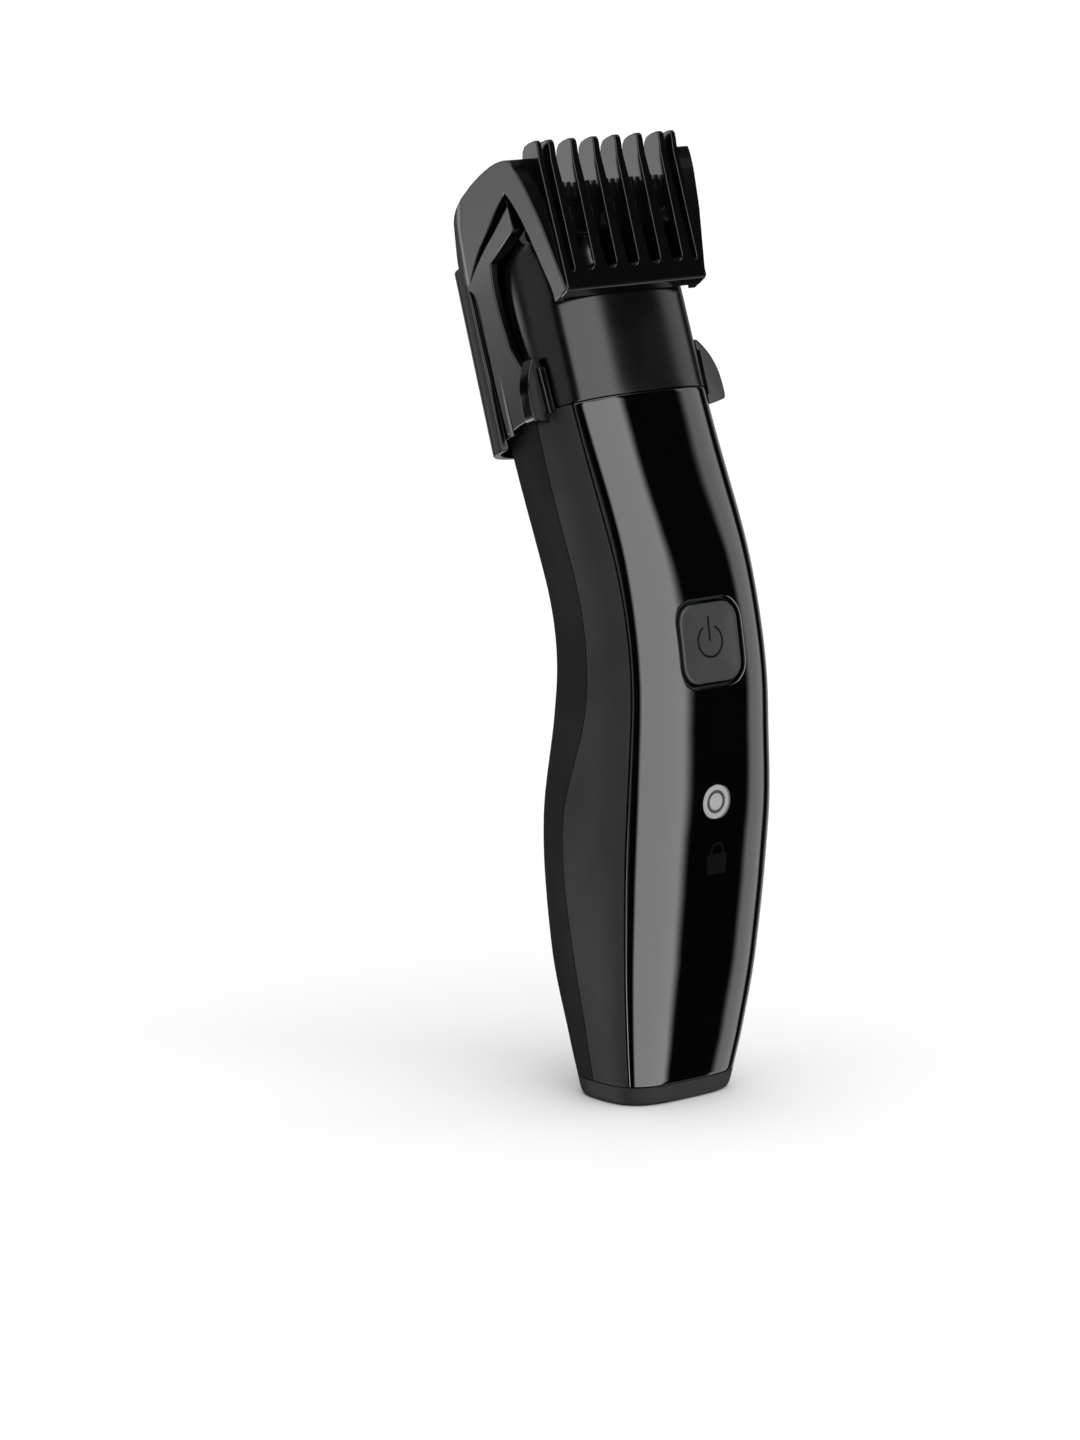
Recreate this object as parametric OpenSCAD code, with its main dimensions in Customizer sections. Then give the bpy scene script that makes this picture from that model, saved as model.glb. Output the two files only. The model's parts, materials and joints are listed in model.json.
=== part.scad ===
// Cordless beard trimmer: a leaning handle with a gloss front panel, a clip-on
// cutter head and a sliding guide comb, with its motor, battery and boards inside.
// Origin: centre of the flat foot. +Z up, the gloss front faces -Y, the head leans to +Y.

/* [Handle] */
// Length of the handle along its curved axis
body_len = 134; // [128:1:140]
// Lean of the upper handle and the head, in degrees
lean = 20; // [16:1:22]
// Height at which the handle starts to lean
lean_start = 78; // [75:1:80]
// Radius of the bend between the upright and the leaning part
lean_r = 80; // [70:1:86]
// How far the waist bows forward
bow_depth = 1.8; // [1:0.1:2.4]
// Width of the foot
foot_w = 28.8; // [28:0.2:31]
// Depth of the foot in front of the axis
foot_front = 10.8; // [10.6:0.1:12]
// Depth of the foot behind the axis
foot_back = 10.6; // [10.4:0.1:12]
// Height of the widest point of the belly
belly_s = 54; // [50:1:58]
// Width of the belly
belly_w = 41.2; // [40:0.2:43]
// Depth of the belly in front of the axis
belly_front = 17.2; // [16.8:0.1:18.5]
// Depth of the belly behind the axis
belly_back = 18.9; // [18.4:0.1:20]
// Height of the waist along the axis
waist_s = 92; // [88:1:95]
// Width of the waist
waist_w = 38.2; // [37.8:0.2:40]
// Depth of the waist in front of the axis
waist_front = 15.2; // [15:0.1:16]
// Depth of the waist behind the axis
waist_back = 16.6; // [16.2:0.1:18]
// Height of the shoulder above the waist, along the axis
shoulder_s = 112; // [108:1:116]
// Depth of the shoulder in front of the axis
shoulder_front = 15.6; // [15.4:0.1:16.4]
// Depth of the shoulder behind the axis
shoulder_back = 15.8; // [15.6:0.1:16.6]
// Width of the neck and of the head collar
neck_w = 38; // [37.6:0.2:39]
// Depth of the neck in front of the axis
neck_front = 14.5; // [14.3:0.1:15.2]
// Depth of the neck behind the axis
neck_back = 16.4; // [16:0.1:17]

/* [Shells] */
// Whole wall of the front housing with the panel on it
wall = 2.8; // [2.6:0.1:3]
// Thickness of the gloss front panel
panel_t = 1.2; // [1:0.1:1.3]
// Thickness of the rubber grip on the back
grip_t = 1.3; // [1:0.1:1.4]
// Gap between shells that are glued or clipped together
seam_gap = 0.15; // [0.1:0.05:0.2]
// Height of the foot cap that closes the handle
foot_h = 4; // [3.5:0.5:5]
// Radius of the screw posts
post_r = 2.2; // [2.1:0.1:2.4]
// Distance of the upper pair of screw posts below the button
post_below = 12.9; // [12.5:0.1:13.2]
// Height of the lower pair of screw posts
post_lo = 14; // [13:0.5:15]

/* [Button and light] */
// Distance of the power button below the neck, along the axis
btn_below = 45.6; // [44.4:0.2:46.8]
// Width of the keycap
btn_w = 14.7; // [13:0.1:16]
// Height of the keycap
btn_h = 15.2; // [14:0.1:16]
// Corner radius of the keycap
btn_r = 3.6; // [2.5:0.1:4.5]
// Gap around the keycap in the panel
btn_gap = 0.9; // [0.5:0.1:1]
// Travel of the keycap
btn_travel = 0.6; // [0.3:0.1:0.6]
// Distance of the status light below the button
light_below = 28.7; // [28:0.1:30]
// Outer radius of the light ring
light_r = 3.3; // [3:0.1:3.6]
// Inner radius of the light ring
light_in_r = 2.25; // [2.1:0.05:2.4]
// Radius of the light in the middle
dot_r = 1.65; // [1.4:0.05:1.8]

/* [Drive] */
// Radius of the motor can
motor_r = 10; // [9:0.1:10.2]
// Length of the motor can
motor_len = 25; // [22:0.5:26]
// Radius of the motor shaft
shaft_r = 1; // [0.8:0.1:1.2]
// Running clearance of the shaft in its bushes
shaft_gap = 0.05; // [0.03:0.01:0.08]
// Offset of the drive pin from the shaft
pin_offset = 0.8; // [0.5:0.1:1]
// Radius of the drive pin
pin_r = 1; // [0.8:0.1:1.2]
// Sideways stroke of the moving blade to each side
stroke = 0.8; // [0.5:0.1:1]
// Radius of the battery cell
battery_r = 7; // [6:0.1:7.2]
// Length of the battery cell
battery_len = 50; // [46:0.5:51]

/* [Head] */
// Height of the straight collar of the head
collar_h = 20; // [18:0.5:20.5]
// Height of the whole head housing
head_h = 32; // [31:0.5:33]
// Wall of the head housing above its rim
head_wall = 1.6; // [1.4:0.1:1.8]
// Width of the fixed blade
blade_w = 32; // [30:0.5:33]
// Height of the blade tips above the seam
blade_top = 42.5; // [41:0.5:44]
// Thickness of the fixed blade
blade_t = 0.8; // [0.6:0.1:0.9]
// Pitch of the blade teeth
tooth_pitch = 1.6; // [1.4:0.1:2]

/* [Guide comb] */
// Height of the comb tips above the seam
comb_top = 49.6; // [48.5:0.1:51]
// Height of the comb bar's lower edge above the seam
comb_bar_z = 20.3; // [20.1:0.1:21]
// Height of the comb bar
comb_bar_h = 3.7; // [3.2:0.1:4]
// Pitch of the comb teeth
comb_pitch = 5.6; // [5:0.1:5.7]
// Thickness of a comb tooth at its tip
comb_tooth_t = 1.4; // [1.2:0.1:1.8]
// Width of the comb's front
comb_w = 35.4; // [34.6:0.1:36]
// Clearance of the comb around the head
comb_gap = 0.3; // [0.25:0.05:0.4]
// Wall of the comb's rear sleeve
sleeve_t = 1.4; // [1.2:0.1:1.6]
// How far the comb slides up

/* [Hidden] */
$fn = 48;

front_n = 3.4;      // squareness of the front half of a section
back_n = 2.6;       // squareness of the back half
rows = 24;          // stations that the shells are lofted through
edge_t = -33;       // section angle of the panel's edge, from +X
edge_step = 0.8;    // section angle taken by the step beside the panel
seam_t = 1;         // section angle of the gap beside the panel
play = 0.3;         // clearance of pieces that move past each other
snug = 0.02;        // clearance of pieces that are pressed together
embed = 0.7;        // how far a post runs into the wall that carries it
btn_s = body_len - btn_below;
light_s = btn_s - light_below;
post_hi = btn_s - post_below;
rear_wall = wall + 0.2;
recess = panel_t + seam_gap;
grip_recess = grip_t + seam_gap;
split_y = 0;        // plane where the screw posts of the two housings meet

// ---------- shape of the handle ----------

function lerp(a, b, k) = a + (b - a) * k;
function bump(s, centre, half) = abs(s - centre) < half ? pow(cos(90 * (s - centre) / half), 2) : 0;

arc_end = lean_start + lean_r * lean * PI / 180;
function tilt(s) = s <= lean_start ? 0 : min(lean, (s - lean_start) / lean_r * 180 / PI);
function axis_y(s) = lean_r * (1 - cos(tilt(s))) + max(0, s - arc_end) * sin(lean);
function axis_z(s) = min(s, lean_start) + lean_r * sin(tilt(s)) + max(0, s - arc_end) * cos(lean);

bow_s = waist_s - 7;
function bow(s) = -bow_depth * bump(s, bow_s, body_len - bow_s - 7);

// A station of the flank between two others: shares of height, width, front and back depth
function between(a, b, k) = [for (i = [0:3]) lerp(a[i], b[i], k[i])];
foot = [0, foot_w / 2, foot_front, foot_back];
belly = [belly_s, belly_w / 2, belly_front, belly_back];
waist = [waist_s, waist_w / 2, waist_front, waist_back];
stations = [foot,
  between(foot, belly, [0.22, 0.39, 0.33, 0.29]),
  between(foot, belly, [0.52, 0.76, 0.68, 0.76]),
  belly,
  between(belly, waist, [0.53, 0.5, 0.55, 0.7]),
  waist,
  [shoulder_s, neck_w / 2, shoulder_front, shoulder_back],
  [body_len, neck_w / 2, neck_front, neck_back]];
last = len(stations) - 1;
function knot(s, i = 0) = i >= last - 1 || s < stations[i + 1][0] ? i : knot(s, i + 1);
function slope(i, k) =
  let (a = stations[max(i - 1, 0)], b = stations[min(i + 1, last)])
  (b[k] - a[k]) / (b[0] - a[0]);
// Size k of the section at height s: 1 half width, 2 front depth, 3 back depth
function size_at(s, k) =
  let (i = knot(s), a = stations[i], b = stations[i + 1], h = b[0] - a[0], t = (s - a[0]) / h)
  a[k] * (2 * t ^ 3 - 3 * t ^ 2 + 1) + slope(i, k) * h * (t ^ 3 - 2 * t ^ 2 + t)
  + b[k] * (3 * t ^ 2 - 2 * t ^ 3) + slope(i + 1, k) * h * (t ^ 3 - t ^ 2);

function signed_pow(v, p) = sign(v) * pow(abs(v), p);
// Point of a rounded section: half width w, front depth f, back depth b, section angle t
function outline_pt(w, f, b, t) =
  let (n = sin(t) < 0 ? front_n : back_n)
  [w * signed_pow(cos(t), 2 / n), (sin(t) < 0 ? f : b) * signed_pow(sin(t), 2 / n)];
// Point of the handle's skin at height s and section angle t, d below the surface
function skin(s, t, d = 0) =
  let (p = outline_pt(size_at(s, 1) - d, size_at(s, 2) - d, size_at(s, 3) - d, t))
  [p[0], axis_y(s) + bow(s) + p[1] * cos(tilt(s)), axis_z(s) - p[1] * sin(tilt(s))];
// Where the skin lies along Y, at height s and width x
function back_at(s, x, d) =
  axis_y(s) + bow(s) + (size_at(s, 3) - d) * pow(1 - pow(abs(x) / (size_at(s, 1) - d), back_n), 1 / back_n);
function front_at(s, x, d) =
  axis_y(s) + bow(s) - (size_at(s, 2) - d) * pow(1 - pow(abs(x) / (size_at(s, 1) - d), front_n), 1 / front_n);

// The crease where the side shell meets the rubber grip wanders along the flank
crease_low = 0.4;
crease_high = -1.4;
crease_bulge = 4;
crease_reach = [45, 26]; // reach of the bulge below and above the belly
function crease_y(s) = lerp(crease_low, crease_high, s / body_len)
  + crease_bulge * bump(s, belly_s, s < belly_s ? crease_reach[0] : crease_reach[1]);
function crease_t(s, off = 0) =
  let (y = crease_y(s) + off)
  y >= 0 ? asin(pow(y / size_at(s, 3), back_n / 2)) : -asin(pow(-y / size_at(s, 2), front_n / 2));

// Columns [section angle, depth] of a shell between two section angles
function span(a, b, n, d) = [for (i = [0:n]) [lerp(a, b, i / n), d]];
function housing_cols(s) = concat(
  span(crease_t(s), edge_t, 4, 0),
  span(edge_t - edge_step, -180 - edge_t + edge_step, 12, recess),
  span(-180 - edge_t, -180 - crease_t(s), 4, 0));
function panel_cols(d) =
  span(edge_t - edge_step - seam_t, -180 - edge_t + edge_step + seam_t, 14, d);
function back_cols(s, d) = span(180 - crease_t(s, seam_gap), crease_t(s, seam_gap), 16, d);
function at_depth(cols, d) = [for (c = cols) [c[0], d]];
function ring(s, cols) = [for (c = cols) skin(s, c[0], c[1])];
levels = [for (i = [0:rows]) lerp(foot_h, body_len, i / rows)];

// ---------- lofts ----------

function quad(a, b, c, d) = [[a, b, c], [a, c, d]];
function flat(lists) = [for (l = lists) each l];

// Wall between two lofted skins, open along its edges or closed all round
module shell(outer, inner, closed = false) {
  n = len(outer);
  m = len(outer[0]);
  turns = closed ? m : m - 1;
  function o(i, j) = i * m + j % m;
  function q(i, j) = (n + i) * m + j % m;
  faces = flat(concat(
    [for (i = [0:n - 2], j = [0:turns - 1]) quad(o(i, j), o(i, j + 1), o(i + 1, j + 1), o(i + 1, j))],
    [for (i = [0:n - 2], j = [0:turns - 1]) quad(q(i, j), q(i + 1, j), q(i + 1, j + 1), q(i, j + 1))],
    [for (j = [0:turns - 1]) quad(o(0, j + 1), o(0, j), q(0, j), q(0, j + 1))],
    [for (j = [0:turns - 1]) quad(o(n - 1, j), o(n - 1, j + 1), q(n - 1, j + 1), q(n - 1, j))],
    closed ? [] : [for (i = [0:n - 2]) quad(o(i, 0), o(i + 1, 0), q(i + 1, 0), q(i, 0))],
    closed ? [] : [for (i = [0:n - 2]) quad(o(i + 1, m - 1), o(i, m - 1), q(i, m - 1), q(i + 1, m - 1))]));
  polyhedron(points = concat(flat(outer), flat(inner)), faces = faces, convexity = 10);
}

// Solid lofted through closed rings, with flat ends
module loft(rings) {
  n = len(rings);
  m = len(rings[0]);
  function o(i, j) = i * m + j % m;
  faces = concat(
    flat([for (i = [0:n - 2], j = [0:m - 1]) quad(o(i, j), o(i, j + 1), o(i + 1, j + 1), o(i + 1, j))]),
    [[for (j = [m - 1:-1:0]) o(0, j)], [for (j = [0:m - 1]) o(n - 1, j)]]);
  polyhedron(points = flat(rings), faces = faces, convexity = 6);
}

// ---------- frames ----------

// Frame on the front skin at height s: +Y runs into the handle, Z up along the face
function face_tilt(s) = let (a = skin(s - 7, -90), b = skin(s + 7, -90)) atan2(b[1] - a[1], b[2] - a[2]);
module face_frame(s) translate(skin(s, -90)) rotate([-face_tilt(s), 0, 0]) children();
// Frame of the head: origin at the seam, Z along the leaning axis, Y to the back
module head_frame() translate([0, axis_y(body_len), axis_z(body_len)]) rotate([-lean, 0, 0]) children();
// Cylinder of radius r along Y, from y0 to y1
module rod_y(r, y0, y1) translate([0, y1, 0]) rotate([90, 0, 0]) cylinder(r = r, h = y1 - y0);
module block(x0, x1, y0, y1, z0, z1) translate([x0, y0, z0]) cube([x1 - x0, y1 - y0, z1 - z0]);
module both_sides() {
  children();
  mirror([1, 0, 0]) children();
}
// Rounded rectangle of corner radius r, extruded along Y from y0 to y1
module rounded_block(w, h, r, y0, y1) {
  translate([0, y1, 0]) rotate([90, 0, 0]) linear_extrude(y1 - y0) union() {
    square([w - 2 * r, h], center = true);
    square([w, h - 2 * r], center = true);
    for (x = [-1, 1], y = [-1, 1]) translate([x * (w / 2 - r), y * (h / 2 - r)]) circle(r = r);
  }
}
// Section of the neck, d below the surface, between two section angles
function neck_ring(d, t0 = 0, t1 = 352.5, n = 47) =
  [for (i = [0:n]) outline_pt(neck_w / 2 - d, neck_front - d, neck_back - d, lerp(t0, t1, i / n))];

// ---------- handle shells ----------

post_inset = 9.2;
screw_r = 1;
screw_head_r = 1.7;
screw_head_h = 1.5;
function post_x(s) = size_at(s, 1) - post_inset;
function post_end(s) = back_at(s, post_x(s), rear_wall) + embed;
function seat_y(s) = post_end(s) - 3.4;
module at_posts() for (s = [post_lo, post_hi]) both_sides() translate([post_x(s), 0, axis_z(s)]) {
  $s = s;
  children();
}

board_y = -11;       // front face of the main board
board_t = 1.2;
board_x = 7.4;
board_z = [btn_s - 42.4, btn_s - 16];
switch_y = wall + 3.7;       // front of the switch, in the button's frame
switch_h = 1.8;
button_board_y = switch_y + switch_h;
board_post_r = 1.6;
board_post = [5.6, 3.2];     // offset of the main board's posts from its middle and ends
button_post = [10.3, 6];     // offset of the button board's posts

module board_posts() {
  for (z = [board_z[0] + board_post[1], board_z[1] - board_post[1]])
    both_sides() translate([board_post[0], 0, z])
      rod_y(board_post_r, front_at(z, board_post[0], wall) - embed, board_y);
  face_frame(btn_s) both_sides() for (z = [-1, 1]) translate([button_post[0], 0, z * button_post[1]])
    rod_y(board_post_r, wall + 0.3, button_board_y);
}

module front_housing() color([0.13, 0.13, 0.14]) difference() {
  union() {
    shell([for (s = levels) ring(s, housing_cols(s))],
      [for (s = levels) ring(s, at_depth(housing_cols(s), wall))]);
    at_posts() rod_y(post_r, front_at($s, post_x($s), wall) - embed, split_y - seam_gap / 2);
    board_posts();
  }
  at_posts() rod_y(screw_r + snug, split_y - 7, split_y);
  face_frame(btn_s) rounded_block(btn_w + btn_gap, btn_h + btn_gap, btn_r, -2, wall + 3);
  face_frame(light_s) rod_y(light_r + snug, -2, wall + 1);
}

module front_panel() color([0.03, 0.03, 0.035]) difference() {
  shell([for (s = levels) ring(s, panel_cols(0))], [for (s = levels) ring(s, panel_cols(panel_t))]);
  face_frame(btn_s)
    rounded_block(btn_w + 2 * btn_gap, btn_h + 2 * btn_gap, btn_r + btn_gap, -2, wall);
  face_frame(light_s) rod_y(light_r + snug, -2, wall);
}

cradle_t = 1.6;
cradle_gap = 0.2;
battery_y = 2.5;
battery_z = 22;
tab_t = 0.25;
cradle_back = battery_y + battery_r + cradle_gap;
cradle_rib_z = [8, 42];      // heights of the ribs behind the cradle, above the cell's foot

module rear_housing() color([0.1, 0.1, 0.11]) difference() {
  union() {
    shell([for (s = levels) ring(s, back_cols(s, grip_recess))],
      [for (s = levels) ring(s, back_cols(s, rear_wall))]);
    at_posts() rod_y(post_r, split_y + seam_gap / 2, post_end($s));
    for (z = cradle_rib_z) translate([0, 0, battery_z + z])
      rod_y(post_r, cradle_back + cradle_t, back_at(battery_z + z, 0, rear_wall) + embed);
  }
  at_posts() {
    rod_y(screw_r + 0.1, split_y - 1, seat_y($s) + 1);
    rod_y(screw_head_r + 0.1, seat_y($s), post_end($s) + 6);
  }
}

module back_grip() color([0.07, 0.07, 0.075]) shell(
  [for (s = levels) ring(s, back_cols(s, 0))], [for (s = levels) ring(s, back_cols(s, grip_t))]);

module housing_screws() color([0.6, 0.6, 0.62]) at_posts() {
  rod_y(screw_r, split_y - 6, seat_y($s));
  rod_y(screw_head_r, seat_y($s), seat_y($s) + screw_head_h);
}

// ---------- foot ----------

port_y = 3.6;
port_r = 3.4;
port_len = 3;
plug_r = 2.8;
socket_r = 3.9;
plug_h = 5;          // height of the cap's plug inside the shells
full = [for (i = [0:47]) [-7.5 * i, 0]];

module bottom_cap() color([0.09, 0.09, 0.095]) difference() {
  loft([ring(0, at_depth(full, 0.8)), ring(0.3, at_depth(full, 0.3)), ring(1, at_depth(full, 0.06)),
    ring(foot_h - seam_gap, full), ring(foot_h - seam_gap, at_depth(full, rear_wall + 0.2)),
    ring(foot_h + plug_h, at_depth(full, rear_wall + 0.2))]);
  translate([0, port_y, -1]) cylinder(r = port_r, h = port_len + 2);
  translate([0, port_y, port_len]) cylinder(r = socket_r + 0.1, h = foot_h + plug_h);
}

socket_len = 11;
module charging_socket() color([0.15, 0.15, 0.16]) translate([0, port_y, port_len]) difference() {
  cylinder(r = socket_r, h = socket_len);
  translate([0, 0, -1]) cylinder(r = plug_r, h = socket_len - 1);
}

module socket_pin() color([0.8, 0.7, 0.4]) translate([0, port_y, port_len + 0.8])
  cylinder(r = 0.9, h = socket_len - 2.8);

// ---------- battery and boards ----------

module battery_cell() color([0.25, 0.45, 0.65]) translate([0, battery_y, battery_z])
  cylinder(r = battery_r, h = battery_len);

module battery_tabs() color([0.75, 0.75, 0.76]) for (z = [battery_z - tab_t, battery_z + battery_len])
  translate([0, battery_y, z]) cylinder(r = 4, h = tab_t);

module battery_cradle() color([0.2, 0.2, 0.21]) {
  z0 = battery_z - tab_t - seam_gap;
  z1 = battery_z + battery_len + tab_t + seam_gap;
  x = battery_r + cradle_gap;
  block(-x, x, cradle_back, cradle_back + cradle_t, z0 - cradle_t, z1 + cradle_t);
  for (z = [z0 - cradle_t, z1]) block(-x, x, battery_y - 4, cradle_back, z, z + cradle_t);
}

module main_board() color([0.05, 0.3, 0.15])
  block(-board_x, board_x, board_y, board_y + board_t, board_z[0], board_z[1]);

// Parts on the board: [x, height above its lower edge, width, height, thickness]
chips = [[-3, 6, 5, 5, 1], [3.6, 5, 4, 4, 1.6], [2.6, 14, 6, 4.4, 1.2], [-3.6, 16, 4, 6, 2], [0, 23, 8, 2.6, 1.8]];
module board_parts() color([0.12, 0.12, 0.12]) translate([0, 0, board_z[0]]) for (c = chips)
  block(c[0] - c[2] / 2, c[0] + c[2] / 2, board_y + board_t, board_y + board_t + c[4],
    c[1] - c[3] / 2, c[1] + c[3] / 2);

led_h = 0.6;
module status_led() color([0.95, 0.95, 0.9])
  block(-0.8, 0.8, board_y - led_h, board_y, axis_z(light_s) - 0.8, axis_z(light_s) + 0.8);

light_deep = 4;      // how far the light ring and its mask run in
pipe_end = board_y - led_h - 0.1 - skin(light_s, -90)[1];
module light_pipe() color([0.9, 0.9, 0.9]) face_frame(light_s) rod_y(dot_r, 0.04, pipe_end - 0.1);

module tube_y(r_out, r_in, y0, y1) difference() {
  rod_y(r_out, y0, y1);
  rod_y(r_in, y0 - 1, y1 + 1);
}
module light_mask() color([0.02, 0.02, 0.02]) face_frame(light_s)
  tube_y(light_in_r, dot_r + snug, 0.08, light_deep);
module light_ring() color([0.9, 0.9, 0.9]) face_frame(light_s)
  tube_y(light_r, light_in_r + snug, 0.04, light_deep);

button_board_x = 12;
button_board_z = 8.5;
module button_board() color([0.05, 0.3, 0.15]) face_frame(btn_s)
  block(-button_board_x, button_board_x, button_board_y, button_board_y + board_t,
    -button_board_z, button_board_z);

plunger_r = 1.2;
plunger_len = 1.4;
flange_y = wall + 1;
flange_t = 0.8;
stem_r = 1.6;
stem_end = switch_y - btn_travel - 0.3;
touch = 0.1;         // gap between the keycap's stem and the plunger
module tact_switch() color([0.2, 0.2, 0.2]) face_frame(btn_s) difference() {
  block(-3, 3, switch_y, button_board_y, -3, 3);
  rod_y(plunger_r + 0.1, switch_y - 1, button_board_y - 0.3);
}
module switch_plunger() color([0.8, 0.8, 0.8]) face_frame(btn_s)
  rod_y(plunger_r, stem_end + touch, stem_end + touch + plunger_len);

cap_y = 0.35;        // how far the keycap's face sits below the panel
symbol_r = 3.05;
symbol_line = 0.5;
symbol_deep = 0.25;
module power_symbol() translate([0, cap_y - 0.5, 0.3]) {
  difference() {
    tube_y(symbol_r + symbol_line / 2, symbol_r - symbol_line / 2, 0, 0.5 + symbol_deep);
    block(-1.6, 1.6, -1, 2, 0, 5);
  }
  block(-symbol_line / 2, symbol_line / 2, 0, 0.5 + symbol_deep, 0, symbol_r * 1.55);
}
module power_button() color([0.22, 0.22, 0.23]) face_frame(btn_s) difference() {
  union() {
    rounded_block(btn_w, btn_h, btn_r, cap_y, flange_y);
    rounded_block(btn_w + 2 * btn_gap, btn_h + 2 * btn_gap, btn_r + btn_gap, flange_y, flange_y + flange_t);
    rod_y(stem_r, flange_y, stem_end);
  }
  power_symbol();
}

// ---------- motor, in the head's frame ----------

plate_z = [-4, -1];          // the plate that closes the handle and carries the motor
cap_len = 3;
bush_r = 2.6;
can_wall = 1;
motor_screw_x = 7.2;
tap_r = 0.95;

module motor_can() color([0.7, 0.7, 0.72]) head_frame() translate([0, 0, plate_z[0]]) difference() {
  translate([0, 0, -motor_len]) cylinder(r = motor_r, h = motor_len);
  translate([0, 0, -motor_len - 1]) cylinder(r = motor_r - can_wall, h = motor_len - can_wall);
  translate([0, 0, -can_wall - 1]) cylinder(r = bush_r + snug, h = 4);
  both_sides() translate([motor_screw_x, 0, -2]) cylinder(r = tap_r + snug, h = 4);
}
module motor_end_cap() color([0.85, 0.85, 0.8]) head_frame()
  translate([0, 0, plate_z[0] - motor_len - cap_len]) difference() {
    union() {
      cylinder(r = motor_r, h = cap_len);
      cylinder(r = motor_r - can_wall - snug, h = cap_len + 1.5);
    }
    translate([0, 0, 1]) cylinder(r = bush_r + snug, h = cap_len + 2);
  }
module bush(h) difference() {
  cylinder(r = bush_r, h = h);
  translate([0, 0, -1]) cylinder(r = shaft_r + shaft_gap, h = h + 2);
}
module motor_bushes() color([0.75, 0.6, 0.35]) head_frame() {
  translate([0, 0, plate_z[0] - 2]) bush(2);
  translate([0, 0, plate_z[0] - motor_len - cap_len + 1]) bush(cap_len + 0.5);
}
module motor_screws() color([0.6, 0.6, 0.62]) head_frame() both_sides()
  translate([motor_screw_x, 0, plate_z[0] - 2]) {
    cylinder(r = tap_r, h = plate_z[1] - plate_z[0] + 2);
    translate([0, 0, plate_z[1] - plate_z[0] + 2]) cylinder(r = 1.7, h = 1.2);
  }

armature_z = [plate_z[0] - motor_len + 3, plate_z[0] - 4];
module motor_armature() color([0.7, 0.4, 0.2]) head_frame() difference() {
  translate([0, 0, armature_z[0]]) cylinder(r = motor_r - can_wall - 0.5, h = armature_z[1] - armature_z[0]);
  translate([0, 0, armature_z[0] - 1]) cylinder(r = shaft_r + snug, h = motor_len);
  for (a = [30, 150, 270]) rotate([0, 0, a])
    translate([4, -0.8, armature_z[0] - 1]) cube([motor_r, 1.6, motor_len]);
}

cam_r = 3.6;
cam_z = [-3.2, -1.4];
pin_top = 7.5;
shaft_top = cam_z[1] - 0.2;
module motor_shaft() color([0.8, 0.8, 0.82]) head_frame()
  translate([0, 0, plate_z[0] - motor_len - cap_len + 1.2])
    cylinder(r = shaft_r, h = shaft_top - (plate_z[0] - motor_len - cap_len + 1.2));
module drive_cam() color([0.9, 0.9, 0.88]) head_frame() {
  difference() {
    translate([0, 0, cam_z[0]]) cylinder(r = cam_r, h = cam_z[1] - cam_z[0]);
    translate([0, 0, cam_z[0] - 1]) cylinder(r = shaft_r + snug, h = 1 + shaft_top - cam_z[0]);
  }
  translate([0, pin_offset, cam_z[1] - 0.1]) cylinder(r = pin_r, h = pin_top - cam_z[1] + 0.1);
}

lead_x = 4;
module motor_leads() color([0.7, 0.1, 0.1]) both_sides() {
  from = [lead_x, board_y + board_t + 1.2, board_z[1] - 1.5];
  motor_end = body_len + plate_z[0] - motor_len - cap_len;
  to = [lead_x, axis_y(motor_end) - lead_x, axis_z(motor_end) + lead_x * sin(lean)];
  run = to - from;
  translate(from) rotate([0, acos(run[2] / norm(run)), atan2(run[1], run[0])])
    cylinder(r = 0.6, h = norm(run) - 0.4);
  block(from[0] - 0.9, from[0] + 0.9, board_y + board_t, from[1] + 0.6, from[2] - 0.6, from[2] + 0.6);
}

// ---------- neck ----------

flange_d = rear_wall + 0.15; // depth of the plate's edge below the skin
spigot_d = flange_d + 0.5;   // depth of the spigot's side below the skin
spigot_wall = 1.9;
spigot_h = 5;
rim_z = 0.15;                // gap between the head and the handle
gasket_gap = 0.05;
module neck_prism(d, z0, z1) translate([0, 0, z0]) linear_extrude(z1 - z0) polygon(neck_ring(d));
module neck_plate() color([0.12, 0.12, 0.13]) head_frame() difference() {
  union() {
    neck_prism(flange_d, plate_z[0], plate_z[1]);
    neck_prism(spigot_d, plate_z[0], spigot_h);
  }
  neck_prism(spigot_d + spigot_wall, plate_z[1], spigot_h + 1);
  translate([0, 0, plate_z[0] - 1]) cylinder(r = cam_r + pin_offset + 0.4, h = 6);
  both_sides() translate([motor_screw_x, 0, plate_z[0] - 1]) cylinder(r = tap_r + 0.1, h = 6);
}
module neck_gasket() color([0.05, 0.05, 0.05]) head_frame() difference() {
  neck_prism(flange_d, plate_z[1] + snug, -gasket_gap);
  neck_prism(spigot_d - snug, plate_z[1] - 1, 1);
}

// ---------- head ----------

rim_h = 6.5;                 // height of the thick rim that grips the spigot
rim_wall = spigot_d - play;
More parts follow.
